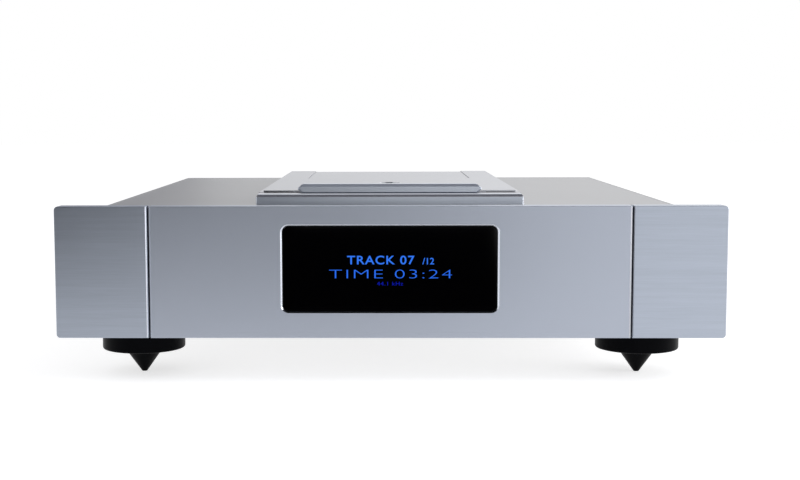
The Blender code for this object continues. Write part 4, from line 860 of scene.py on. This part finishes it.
def screw_tree(sizes, finish):
    """A node tree that puts a round screw head with a six-sided hole on each point."""
    tree = bpy.data.node_groups.new("screws_on_points", "GeometryNodeTree")
    tree.interface.new_socket("Geometry", in_out="INPUT", socket_type="NodeSocketGeometry")
    for label, value in zip(("Head radius", "Head height", "Key radius"), sizes):
        tree.interface.new_socket(label, in_out="INPUT", socket_type="NodeSocketFloat").default_value = value
    tree.interface.new_socket("Turn", in_out="INPUT", socket_type="NodeSocketVector")
    tree.interface.new_socket("Geometry", in_out="OUTPUT", socket_type="NodeSocketGeometry")
    given = tree.nodes.new("NodeGroupInput").outputs
    height = given["Head height"]
    cylinder, minus = "GeometryNodeMeshCylinder", {"operation": "DIFFERENCE", "solver": "EXACT"}
    head = add_node(tree, cylinder, {"Vertices": 40, "Radius": given["Head radius"], "Depth": height})
    key = add_node(tree, cylinder, {"Vertices": 6, "Radius": given["Key radius"], "Depth": height})
    rise = add_node(tree, "ShaderNodeMath", {0: height, 1: KEY_RISE}, operation="MULTIPLY")
    offset = add_node(tree, "ShaderNodeCombineXYZ", {"Z": rise})
    raised = add_node(tree, "GeometryNodeTransform", {"Geometry": key, "Translation": offset})
    carved = add_node(tree, "GeometryNodeMeshBoolean", {"Mesh 1": head, "Mesh 2": raised}, **minus)
    turn = add_node(tree, "FunctionNodeEulerToRotation", {0: given["Turn"]})
    placed = {"Points": given["Geometry"], "Instance": carved, "Rotation": turn}
    copies = add_node(tree, "GeometryNodeInstanceOnPoints", placed)
    real = add_node(tree, "GeometryNodeRealizeInstances", {"Geometry": copies})
    painted = add_node(tree, "GeometryNodeSetMaterial", {"Geometry": real, "Material": finish})
    fill(tree, tree.nodes.new("NodeGroupOutput"), {"Geometry": painted})
    return tree


def screws(name, places, turn, sizes=None):
    """Screw heads centred on places, turned so that their holes face out."""
    case = settings().case
    sizes = sizes or (case.screw_radius, case.screw_height, KEY_RADIUS)
    tree = screw_tree(sizes, FINISHES["black_screw"])
    cloud = bpy.data.meshes.new(name)
    cloud.from_pydata(places, [], [])
    holder = guide(cloud, name + "_points")
    step = holder.modifiers.new("screws", "NODES")
    step.node_group = tree
    sockets = {item.name: item.identifier for item in tree.interface.items_tree if item.in_out == "INPUT"}
    step[sockets["Turn"]] = turn
    piece(name, baked(holder), "black_screw")


def evenly(span, count):
    """Places from one end of a span to the other."""
    return [span[0] + (span[1] - span[0]) * index / (count - 1) for index in range(count)]


def make_case_screws():
    """Button-head screws round the rear panel and under the base plate."""
    case = settings().case
    inset, half = case.screw_inset, case.screw_height / 2
    x, y, z = spans("rear_panel")
    heights = (z[0] + inset, z[1] - inset)
    places = [(across, y[1] + half, up) for across in evenly(grown(x, -inset), 4) for up in heights]
    screws("rear_screws", places, FACING_REAR)
    x, y, z = spans("base_plate")
    along = evenly(grown(y, -2 * inset), 4)
    places = [(across, place, z[0] - half) for across in grown(x, -inset) for place in along]
    screws("base_screws", places, (math.pi, 0, 0))


# Deck, rails, lid and handle


def make_deck():
    """The raised deck with its opening, scallops, cut edges and rail grooves, and the two rails in them."""
    lid = settings().lid
    x, y, z = spans("lid_deck")
    x = grown(x, DECK_REACH)
    centre, well_radius, _ = round_node("disc_well")
    chamfer, edge, thick = lid.deck_chamfer, lid.edge, DECK_CUT_THICKNESS
    levels = [(0, z[0]), (0, z[1] - chamfer - edge / 2), (edge / 3, z[1] - chamfer)]
    levels += [(chamfer - edge / 3, z[1] - edge / 3), (chamfer + edge / 2, z[1])]
    rim = [(0, z[0]), (0, z[1] - lid.opening_edge), (-lid.opening_edge, z[1])]
    opening = shrinking_circle(centre, well_radius - WELL_FLANGE)
    shape = pierced_plate("z", (shrinking_rectangle(x, y, (0, 0, 0, 0)), levels), [(opening, rim)])

    # The border before the lid, with a slighter bevel over the front chamfer
    top = z[1] + lid.sill_height
    border = box(grown(x, -chamfer), (y[0], spans("sliding_lid")[1][0] - GAP), (z[1] - GAP, top))
    bevel_y, bevel_z = y[0] + lid.front_chamfer, top - BEVEL_DROP
    bevel = [(bevel_y, bevel_z), (bevel_y + BEVEL_WIDTH, top)]
    reach = lid.front_chamfer + OVERRUN
    past = bevel[1][0] + OVERRUN * BEVEL_WIDTH / BEVEL_DROP
    wedge = [(bevel_y - reach, bevel_z - reach), bevel[0], (past, top + OVERRUN), (bevel_y - reach, top + OVERRUN)]
    cutters = [prism(wedge, grown(x, OVERRUN), "x")]
    foot = (y[0], bevel_z - lid.front_chamfer)
    face_z = (z[0] + edge, foot[1] - edge)
    for name, seam, inward in (("left", x[0], 1), ("right", x[1], -1)):
        corner, strip = seam_chamfer(seam, inward, y, z, lid.deck_corner, face_z=face_z)
        cutters.append(corner)
        # Corner strips in the lighter cut finish: a painted highlight on the cut corners.
        piece(name + "_deck_corner_cut", strip, "bright_cut", slot="brushed_deck")
    for index in range(4):
        angle = math.tau * (index + 0.5) / 4
        spot = (centre[0] + lid.scallop_place * math.cos(angle), centre[1] + lid.scallop_place * math.sin(angle), 0)
        cutters.append(drum(lid.scallop_radius, (z[1] + OVERRUN, z[1] - lid.scallop_depth), spot, SCALLOP_STEPS))
    rails = [(side, *spans(side + "_guide_rail")) for side in ("left", "right")]
    for _, rail_x, rail_y, rail_z in rails:
        groove_y = (rail_y[0] - GAP, y[1] + OVERRUN)
        cutters.append(box(grown(rail_x, HAIRLINE), groove_y, (rail_z[0] - GAP, z[1] + OVERRUN)))
    piece("deck_skin", combined(shape, [border], cutters), "brushed_deck", replaced=["lid_deck"])

    # The bevel's strip is in the lighter cut finish, a painted highlight; the chamfer's strip keeps the deck's
    # colour and is only smoother.
    slope = [foot, bevel[0]]
    for name, line, forward, finish in (("bevel", bevel, 0, "bright_cut"), ("chamfer", slope, thick, "fine_cut")):
        strip = line + [(along - forward, up + thick) for along, up in reversed(line)]
        piece(f"deck_{name}_cut", prism(strip, grown(x, -chamfer), "x"), finish, slot="brushed_deck")
    # A thin skin over the deck's front face in a lighter, bluer copy of the deck: painted light.
    face = box(grown(x, -lid.deck_corner), (y[0] - thick, y[0] + thick), face_z)
    piece("deck_face_cut", face, "milled_face", slot="brushed_deck")
    for side, rail_x, rail_y, rail_z in rails:
        cap_x = (rail_x[0], x[1] - edge) if side == "right" else (x[0] + edge, rail_x[1])
        rail_cap = box(cap_x, grown(rail_y, -edge), (z[1] + HAIRLINE, rail_z[1]), edge)
        rail = box(grown(rail_x, -HAIRLINE), rail_y, (rail_z[0], rail_z[1] - edge), edge)
        replaced = [side + "_guide_rail"]
        piece(side + "_rail_skin", combined(rail, [rail_cap]), "brushed_deck", replaced=replaced)


def make_lid():
    """The lid's flange and tongue, with the finger dimple, and the handle over its front edge."""
    lid = settings().lid
    x, y, z = spans("sliding_lid")
    rail_x, _, rail_z = spans("right_guide_rail")
    tongue = rail_x[0] - 2 * GAP
    step = rail_z[1] + GAP
    flange = box(x, y, (step, z[1]), lid.front_round)
    tongue_piece = box((-tongue, tongue), grown(y, -lid.edge), (z[0], step + (z[1] - step) / 2), lid.edge)
    centre, _, _ = round_node("disc_well")
    floor, top, thick = z[1] - lid.dimple_depth, z[1] + OVERRUN, DECK_CUT_THICKNESS
    wall_top, wall_foot = lid.dimple_radius, lid.dimple_radius - DIMPLE_WALL
    corners = [(wall_top + OVERRUN * DIMPLE_WALL / lid.dimple_depth, top), (wall_foot, floor), (0, floor)]
    dimple = turned([(0, top), *filleted(corners, lid.dimple_depth / 4)], centre)
    piece("lid_skin", combined(flange, [tongue_piece], [dimple]), "brushed_deck", "lid", replaced=["sliding_lid"])
    rim = [(wall_top, z[1]), (wall_foot, floor), (wall_foot - thick, floor), (wall_top - thick, z[1])]
    piece("dimple_cut", turned_ring(rim, centre), "fine_cut", "lid", slot="brushed_deck")
    strip = box(grown(x, -lid.front_round), (y[0] - thick, y[0] + lid.edge), (step, z[1] - lid.front_round))
    piece("lid_front_cut", strip, "fine_cut", "lid", slot="brushed_deck")
    make_handle(z[1])


def make_handle(lid_top):
    """A bar with pointed ends over the lid's front edge, with a flat foot on the lid."""
    lid = settings().lid
    x, y, z = spans("lid_handle")
    bar_y = (y[0], y[0] + lid.bar_depth)
    tip = x[1] + HANDLE_REACH
    right = [(tip - lid.handle_point, z[0]), (tip, middle(z)), (tip - lid.handle_point, z[1])]
    bar = prism(right + [(-across, up) for across, up in reversed(right)], bar_y, "y")
    ease(bar, lid.handle_chamfer, 1)
    ease(bar, lid.edge / 2, 2, math.radians(20))
    foot_y = (bar_y[1] - lid.handle_chamfer, y[1])
    foot = box(grown(x, -HANDLE_FOOT_INSET), foot_y, (lid_top + GAP, lid_top + GAP + HANDLE_FOOT_HEIGHT), lid.edge)
    low, before, above = z[1] - lid.handle_slope, y[0] - OVERRUN, z[1] + OVERRUN
    wedge = [(y[0], low), (y[0] + lid.handle_slope + OVERRUN, above), (before, above), (before, low - OVERRUN)]
    mesh = combined(bar, [foot], [prism(wedge, grown(x, OVERRUN), "x")])
    # The handle takes the lighter, bluer copy of the deck: painted light.
    piece("handle_skin", mesh, "milled_face", "lid", slot="brushed_deck", replaced=["lid_handle"])


# Feet


def make_feet():
    """Turned collars, each with a pointed cone whose spigot sits in the collar."""
    foot = settings().foot
    for where in ("front_left", "front_right", "rear"):
        collar_node, cone_node = where + "_foot_collar", where + "_foot_cone"
        centre, radius, z = round_node(collar_node)
        _, cone_radius, cone_z = round_node(cone_node)
        spigot, tip = cone_radius * SPIGOT_SHARE, cone_radius * TIP_SHARE
        bore, shoulder, bore_top = spigot + GAP, z[0] - GAP, cone_z[1] + GAP
        outer = filleted([(0, z[1]), (radius, z[1]), (radius, middle(z))], foot.top_round)
        low = filleted([(radius, middle(z)), (radius, z[0]), (bore, z[0])], foot.collar_round, 8)
        collar = turned([*outer, *low[1:], (bore, bore_top), (0, bore_top)], centre)
        piece(where + "_collar_skin", collar, "black_delrin", replaced=[collar_node])
        edge = [(spigot, shoulder), (cone_radius, shoulder), (tip, cone_z[0]), (0, cone_z[0])]
        cone = turned([(0, cone_z[1]), (spigot, cone_z[1]), *filleted(edge, CONE_TIP_ROUND)], centre)
        piece(where + "_cone_skin", cone, "black_delrin", replaced=[cone_node])


# Disc well, puck and lens


def make_drive():
    """The well with its lens slot, the grooved puck and the domed lens."""
    drive = settings().drive
    centre, outer, z = round_node("disc_well")
    radius = outer - WELL_FLANGE
    flange_low, floor = z[1] - WELL_WALL, z[0] + WELL_WALL
    outside = [(radius, z[1]), (outer, z[1]), (outer, flange_low), (radius + WELL_WALL, flange_low)]
    outside += [(radius + WELL_WALL, z[0]), (HUB_HOLE, z[0]), (HUB_HOLE, floor)]
    inside = filleted([(HUB_HOLE, floor), (radius, floor), (radius, z[1])], drive.well_fillet, 8)
    bowl = merged(turned([*outside, *inside[1:]], centre))
    slot_y = (centre[1] - radius + SLOT_WALL, centre[1] - drive.slot_inner)
    slot = box((-drive.slot_half_width, drive.slot_half_width), slot_y, (z[0] - OVERRUN, floor + OVERRUN))
    piece("well_skin", combined(bowl, cutters=[slot]), "black_plastic", replaced=["disc_well"])
    make_puck(centre)
    lens_centre, radius, z = round_node("pickup_lens")
    rim = z[1] - LENS_RISE
    angles = evenly((math.pi / 2, 0), 9)
    dome = [(radius * math.cos(angle), rim + LENS_RISE * math.sin(angle)) for angle in angles]
    lens = turned([*dome, (radius, z[0]), (0, z[0])], lens_centre, SMALL_TURN_STEPS)
    piece("lens_skin", lens, "clear_lens", "sled", replaced=["pickup_lens"])


def make_puck(centre):
    """The magnetic puck with grip grooves round it and a recess for the hub."""
    drive = settings().drive
    _, radius, z = round_node("disc_puck")
    recess, bevel, dish = 0.0075, 0.001, 0.0004
    side = [(0, z[1] - dish), (radius * 0.45, z[1] - dish), (radius * 0.5, z[1])]
    side += [(radius - bevel, z[1]), (radius, z[1] - bevel)]
    pitch = (z[1] - z[0] - 0.002) / drive.puck_grooves
    for index in range(drive.puck_grooves):
        top, groove = z[1] - 0.0012 - index * pitch, radius - drive.puck_groove
        side += [(radius, top), (groove, top - pitch * 0.25)]
        side += [(groove, top - pitch * 0.5), (radius, top - pitch * 0.75)]
    ceiling = spans("spindle_hub")[2][1] + GAP
    puck = turned([*side, (radius, z[0]), (recess, z[0]), (recess, ceiling), (0, ceiling)], centre)
    piece("puck_skin", puck, "black_delrin", "disc_hub", replaced=["disc_puck"])


# Rear sockets


def socket_flange(x, z, low, high):
    """A flange with rounded corners and an eased rear edge."""
    socket = settings().socket
    return plate(x, z, (low, high), (socket.flange_corner,) * 4, (0, socket.edge))


def make_inlet():
    """The mains inlet with its contacts, fuse drawer and rocker."""
    socket = settings().socket
    x, y, z = spans("mains_inlet")
    middle_x, middle_z, face = middle(x), middle(z), y[1]
    plug_z, rocker_z, flange_low = middle_z - 0.0145, middle_z + 0.0155, face - 0.0025
    plug_depth, room_depth, room_half, cut = 0.016, 0.0113, 0.0068, 0.004
    body = box(around(middle_x, 0.0135), (y[0], flange_low + 0.001), around(middle_z, 0.025))
    (left, right), (low, high) = around(middle_x, 0.012), around(plug_z, 0.00825)
    outline = [(left + cut, low), (right - cut, low), (right, low + cut)]
    outline += [(right, high), (left, high), (left, low + cut)]
    hole = prism(outline, (face - plug_depth, face + OVERRUN), "y")
    drawer_x, drawer_y, drawer_z = spans("fuse_drawer")
    drawer_room = box(grown(drawer_x, GAP), (drawer_y[0] - GAP, face + OVERRUN), grown(drawer_z, GAP))
    rocker_x = grown(spans("power_switch_rocker")[0], GAP)
    rocker_room = box(rocker_x, (face - room_depth, face + OVERRUN), around(rocker_z, room_half))
    mesh = combined(socket_flange(x, z, flange_low, face), [body], [hole, drawer_room, rocker_room])
    piece("inlet_skin", mesh, "black_plastic", replaced=["mains_inlet"])
    blade_y, blade_rise = (face - plug_depth - 0.0001, face - 0.0015), 0.002
    for name, across, up in (("live", -1, 1), ("neutral", 1, 1), ("earth", 0, -1)):
        blade_x = around(middle_x + across * socket.blade_spacing, socket.blade_width / 2)
        blade_z = around(plug_z + up * blade_rise, socket.blade_height / 2)
        piece(name + "_contact", box(blade_x, blade_y, blade_z, 0.0005), "steel_pin")
    make_drawer_and_rocker()


def make_drawer_and_rocker():
    """The fuse drawer with its finger notch, and the dished rocker with its two marks."""
    x, y, z = spans("fuse_drawer")
    notch_half, notch_depth = 0.004, 0.0015
    notch_z = (z[0] - OVERRUN, z[0] + notch_depth)
    notch = box(around(middle(x), notch_half), (y[1] - notch_depth, y[1] + OVERRUN), notch_z)
    drawer = combined(box(x, y, z, settings().socket.edge), cutters=[notch])
    piece("drawer_skin", drawer, "black_plastic", "drawer", replaced=["fuse_drawer"])
    joint = next(joint for joint in FRAME["joints"] if joint["child"] == "rocker")
    pivot = Vector(joint["pos_m"])
    tall, rise, tail, dish_place, dish_radius, dish_turn = 0.0056, 0.0062, 0.003, 0.0155, 0.0165, 0.3399
    dish = arc((rise + dish_place, 0), dish_radius, math.pi - dish_turn, math.pi + dish_turn, 12)
    section = [(-tail, tall / 2), (rise / 2, tall), *dish, (rise / 2, -tall), (-tail, -tall / 2)]
    shape = prism(section, spans("power_switch_rocker")[0], "x", 0.0003)
    tilt = lean(shape, ROCKER_TILT)
    bmesh.ops.translate(shape, vec=(0, pivot.y, pivot.z), verts=shape.verts)
    piece("rocker_skin", shape, "black_plastic", "rocker", replaced=["power_switch_rocker"])
    line = box(around(0, 0.0002), (0, INK_DEPTH), around(0, 0.0009))
    mark_place, mark_sink, mark_turn = tall * 0.62, 0.00045, math.radians(11.5)
    for name, up, mark in (("on_mark", 1, line), ("off_mark", -1, ring_mark())):
        lean(mark, ROCKER_TILT + up * mark_turn)
        spot = pivot + tilt @ Vector((0, rise - mark_sink, up * mark_place))
        bmesh.ops.translate(mark, vec=spot, verts=mark.verts)
        piece(name, mark, "white_ink", "rocker")


def ring_mark():
    """A flat ring that faces the rear."""
    outer, inner = shrinking_circle((0, 0), 0.001, 32), shrinking_circle((0, 0), 0.0007, 32)
    levels = [(0, 0), (0, INK_DEPTH)]
    return pierced_plate("y", (outer, levels), [(inner, levels)])


def make_balanced(name):
    """A three-pin balanced socket: flange, lip, bore, floor, pins and two screws."""
    socket = settings().socket
    node = name + "_balanced_output"
    x, y, z = spans(node)
    spot = (middle(x), 0, middle(z))
    lip, bore, barrel_radius, inset = y[1], 0.0095, 0.0117, 0.0035
    low, high = lip - 0.003, lip - 0.001
    floor = high - 0.015
    barrel = drum(barrel_radius, (y[0], low + 0.001), spot, lying=True)
    edge = [(bore + 0.0015, low + GAP), (bore + 0.0015, lip - 0.0003), (bore + 0.0012, lip)]
    rim = turned([(0, low + GAP), *edge, (0, lip)], spot, lying=True)
    hollow = drum(bore, (floor, lip + OVERRUN), spot, lying=True)
    mesh = combined(socket_flange(x, z, low, high), [barrel, rim], [hollow])
    piece(name + "_balanced_skin", mesh, "black_plastic", replaced=[node])
    radius, back, tip = socket.pin_radius, floor - 0.001, floor + 0.0125
    profile = [(0, back), (radius, back), (radius, tip - 0.0006), (radius * 0.75, tip - 0.00015), (0, tip)]
    for number, angle in enumerate((210, 330, 90), 1):
        turn = math.radians(angle)
        place = (spot[0] + PIN_PLACE * math.cos(turn), 0, spot[2] - PIN_PLACE * math.sin(turn))
        piece(f"{name}_pin_{number}", turned(profile, place, 32, lying=True), "plated_brass")
    corners = [(x[0] + inset, z[1] - inset), (x[1] - inset, z[0] + inset)]
    places = [(across, high + 0.0004, up) for across, up in corners]
    screws(name + "_socket_screws", places, FACING_REAR, (0.0022, 0.0009, 0.0011))


def make_jack(name, insulator):
    """A phono jack: six-sided nut, sleeve and coloured insulator."""
    node = name + "_jack_output"
    x, y, z = spans(node)
    spot = (middle(x), 0, middle(z))
    panel, tip = spans("rear_panel")[1][1], y[1]
    nut_high, shoulder = panel + GAP + 0.003, panel - 0.0033
    hexagon = circle((spot[0], spot[2]), settings().socket.nut_across / 2, 6)
    piece(name + "_jack_nut", prism(hexagon, (panel + GAP, nut_high), "y", 0.0003), "plated_brass")
    sleeve, inside, hole, floor = 0.00415, 0.00355, 0.0016, tip - 0.0085
    rear, neck = 0.0055, 0.0044
    profile = [(0, y[0]), (rear, y[0]), (rear, shoulder), (neck, shoulder), (neck, panel), (sleeve, nut_high)]
    profile += [(sleeve, tip - 0.0003), (sleeve - 0.0003, tip), (inside, tip), (inside, floor), (0, floor)]
    shell = turned(profile, spot, SMALL_TURN_STEPS, lying=True)
    piece(name + "_jack_skin", shell, "plated_brass", replaced=[node])
    front, outer = tip - 0.0007, inside - HAIRLINE
    ring = [(hole, front - 0.006), (outer, front - 0.006), (outer, front), (hole, front)]
    core = turned_ring(ring, spot, SMALL_TURN_STEPS, lying=True)
    piece(name + "_jack_insulator", core, insulator)


def make_outputs():
    """A balanced socket and a jack for each channel and for the digital output."""
    for name, hue in (("right", "red"), ("left", "white"), ("digital", "amber")):
        make_balanced(name)
        make_jack(name, hue + "_insulator")


def make_optical():
    """The optical output with its recessed door."""
    edge = settings().socket.edge
    x, y, z = spans("optical_output")
    face, flange_low, body_inset, recess_inset, door_inset = y[1], y[1] - 0.0015, 0.001, 0.0022, 0.0026
    flange = box(x, (flange_low, face), z, edge)
    body = box(grown(x, -body_inset), (y[0], flange_low + 0.0007), grown(z, -body_inset))
    recess = box(grown(x, -recess_inset), (face - 0.0008, face + OVERRUN), grown(z, -recess_inset))
    piece("optical_skin", combined(flange, [body], [recess]), "black_plastic", replaced=["optical_output"])
    door = box(grown(x, -door_inset), (face - 0.0012, face - 0.0004), grown(z, -door_inset), 0.0002)
    piece("optical_door", door, "black_plastic")


# Studio


def make_camera():
    studio = settings().studio
    data = bpy.data.cameras.new("camera")
    data.lens = studio.lens
    data.sensor_width = studio.sensor
    data.sensor_fit = "HORIZONTAL"
    data.shift_x = studio.shift
    data.shift_y = studio.drop
    data.clip_start = 0.01
    camera = bpy.data.objects.new("camera", data)
    camera.location = studio.place
    camera.rotation_euler = studio.angles
    bpy.context.scene.collection.objects.link(camera)
    bpy.context.scene.camera = camera


def area_light(name, power, size, place, target):
    """A soft rectangular light that points at a place."""
    data = bpy.data.lights.new(name, "AREA")
    data.shape = "RECTANGLE"
    data.size, data.size_y = size
    data.energy = power
    light = bpy.data.objects.new(name, data)
    light.location = place
    light.rotation_euler = (Vector(target) - Vector(place)).to_track_quat("-Z", "Y").to_euler()
    bpy.context.scene.collection.objects.link(light)


def seen_ray(tree):
    """One for a ray that shows the background: to the camera, in gloss or through glass."""
    path = tree.nodes.new("ShaderNodeLightPath").outputs
    seen = path["Is Camera Ray"]
    for ray in ("Is Glossy Ray", "Is Transmission Ray"):
        seen = add_node(tree, "ShaderNodeMath", {0: seen, 1: path[ray]}, operation="MAXIMUM")
    return seen


def staged(name, shape, inputs):
    """A thing of the studio with a plain matt material."""
    mesh = mesh_of(shape, name)
    made = guide(mesh, name)
    material = bpy.data.materials.new(name)
    material.use_nodes = True
    tree = material.node_tree
    fill(tree, tree.nodes["Principled BSDF"], {"Specular IOR Level": 0.0, **inputs})
    mesh.materials.append(material)
    return made, tree


def make_floor():
    """A pale floor that keeps the object's shadow and shows white to the camera."""
    shape = bmesh.new()
    bmesh.ops.create_grid(shape, x_segments=2, y_segments=2, size=6)
    pale = {"Base Color": (0.62, 0.62, 0.63, 1), "Roughness": 0.9, "Emission Color": (1, 1, 1, 1)}
    _, tree = staged("floor", shape, pale)
    level = add_node(tree, "ShaderNodeMapRange", {"Value": seen_ray(tree), "To Min": 0.0, "To Max": FLOOR_GLOW})
    fill(tree, tree.nodes["Principled BSDF"], {"Emission Strength": level})


def dark_card(name, shape, shade):
    """A dark card that the metal and the glass reflect and the camera doesn't see."""
    card, _ = staged(name, shape, {"Base Color": (shade, shade, shade * 1.1, 1), "Roughness": 1.0})
    card.visible_camera = False
    card.visible_shadow = False
    card.visible_diffuse = False


def make_cards():
    """Dark cards at the front left, overhead, on the floor in front and behind at the left."""
    dark_card("card_left", box((-3.2, -0.12), (-1.13, -1.11), (0.0, 1.5)), 0.02)
    dark_card("card_over", box((-1.8, 1.8), (-1.35, 0.12), (1.20, 1.22)), 0.42)
    dark_card("card_rear", box((-3.0, -0.45), (2.20, 2.22), (0.0, 1.4)), 0.50)
    at_left = [(-1.8, -1.10), (-0.32, -1.10), (-0.24, -0.64), (-1.8, -0.64)]
    on_floor = [(-0.172, -1.42), (0.166, -1.42), (0.098, -0.49), (-0.104, -0.49)]
    dark_card("card_floor_left", prism(at_left, (0.001, 0.002), "z"), 0.02)
    dark_card("card_floor", prism(on_floor, (0.001, 0.002), "z"), 0.004)


def make_world():
    """An even sky that shows white to the camera, to gloss and through glass."""
    world = bpy.data.worlds.new("studio")
    world.use_nodes = True
    bpy.context.scene.world = world
    tree = world.node_tree
    shown = {"Value": seen_ray(tree), "To Min": settings().studio.sky, "To Max": 1.0}
    level = add_node(tree, "ShaderNodeMapRange", shown)
    fill(tree, tree.nodes["Background"], {"Color": (1, 1, 1, 1), "Strength": level})


def make_lights():
    studio = settings().studio
    area_light("key", studio.key, (0.9, 1.0), (1.9, -0.45, 0.75), (0, 0, 0.08))
    area_light("back", studio.top, (1.6, 0.8), (0.8, 1.5, 1.3), (0, 0, 0.1))
    area_light("fill", studio.fill, (0.8, 1.0), (-1.5, -0.6, 0.9), (0, 0, 0.08))


# Operators


def finished(*makers):
    """Runs an operator's makers in their order."""
    for make in makers:
        make()
    return {"FINISHED"}


class CDPLAYER_OT_finishes(bpy.types.Operator):
    """Make the finishes and put them on the nodes that stay as they are"""

    bl_idname = "cd_player.finishes"
    bl_label = "Finishes"

    def execute(self, context):
        return finished(make_finishes, paint_nodes)


class CDPLAYER_OT_front(bpy.types.Operator):
    """Add the centre panel, the wings, the glass and the lit characters"""

    bl_idname = "cd_player.front"
    bl_label = "Front"

    def execute(self, context):
        return finished(make_centre_panel, make_wings, make_window, make_characters)


class CDPLAYER_OT_case(bpy.types.Operator):
    """Add the side panels and the case's screws"""

    bl_idname = "cd_player.case"
    bl_label = "Case"

    def execute(self, context):
        return finished(make_sides, make_case_screws)


class CDPLAYER_OT_lid(bpy.types.Operator):
    """Add the deck, the guide rails, the sliding lid and its handle"""

    bl_idname = "cd_player.lid"
    bl_label = "Deck and lid"

    def execute(self, context):
        return finished(make_deck, make_lid)


class CDPLAYER_OT_feet(bpy.types.Operator):
    """Add the three turned feet"""

    bl_idname = "cd_player.feet"
    bl_label = "Feet"

    def execute(self, context):
        return finished(make_feet)


class CDPLAYER_OT_drive(bpy.types.Operator):
    """Add the disc well, the puck and the lens"""

    bl_idname = "cd_player.drive"
    bl_label = "Disc drive"

    def execute(self, context):
        return finished(make_drive)


class CDPLAYER_OT_sockets(bpy.types.Operator):
    """Add the mains inlet and the output sockets"""

    bl_idname = "cd_player.sockets"
    bl_label = "Rear sockets"

    def execute(self, context):
        return finished(make_inlet, make_outputs, make_optical)


class CDPLAYER_OT_studio(bpy.types.Operator):
    """Add the camera, the floor, the sky and the lights"""

    bl_idname = "cd_player.studio"
    bl_label = "Studio"

    def execute(self, context):
        bpy.context.scene.view_settings.view_transform = "Standard"
        return finished(make_camera, make_floor, make_cards, make_world, make_lights)


class CDPLAYER_PT_pieces(bpy.types.Panel):
    """The player's pieces, in the order in which they are made"""

    bl_label = "CD player"
    bl_idname = "CDPLAYER_PT_pieces"
    bl_space_type = "VIEW_3D"
    bl_region_type = "UI"
    bl_category = "CD player"

    def draw(self, context):
        for operator in OPERATORS:
            self.layout.operator(operator.bl_idname)


SETTINGS = (
    FinishSettings, FrontSettings, DisplaySettings, LidSettings, CaseSettings, FootSettings, DriveSettings,
    SocketSettings, StudioSettings, PlayerSettings,
)
OPERATORS = (
    CDPLAYER_OT_finishes, CDPLAYER_OT_front, CDPLAYER_OT_case, CDPLAYER_OT_lid, CDPLAYER_OT_feet,
    CDPLAYER_OT_drive, CDPLAYER_OT_sockets, CDPLAYER_OT_studio,
)


def register():
    for item in (*SETTINGS, *OPERATORS, CDPLAYER_PT_pieces):
        bpy.utils.register_class(item)
    bpy.types.Scene.cd_player = PointerProperty(type=PlayerSettings)


def unregister():
    del bpy.types.Scene.cd_player
    for item in reversed((*SETTINGS, *OPERATORS, CDPLAYER_PT_pieces)):
        bpy.utils.unregister_class(item)


def main():
    """Makes the whole player and its studio."""
    register()
    bpy.ops.cd_player.finishes()
    bpy.ops.cd_player.front()
    bpy.ops.cd_player.case()
    bpy.ops.cd_player.lid()
    bpy.ops.cd_player.feet()
    bpy.ops.cd_player.drive()
    bpy.ops.cd_player.sockets()
    bpy.ops.cd_player.studio()


if __name__ == "__main__":
    main()
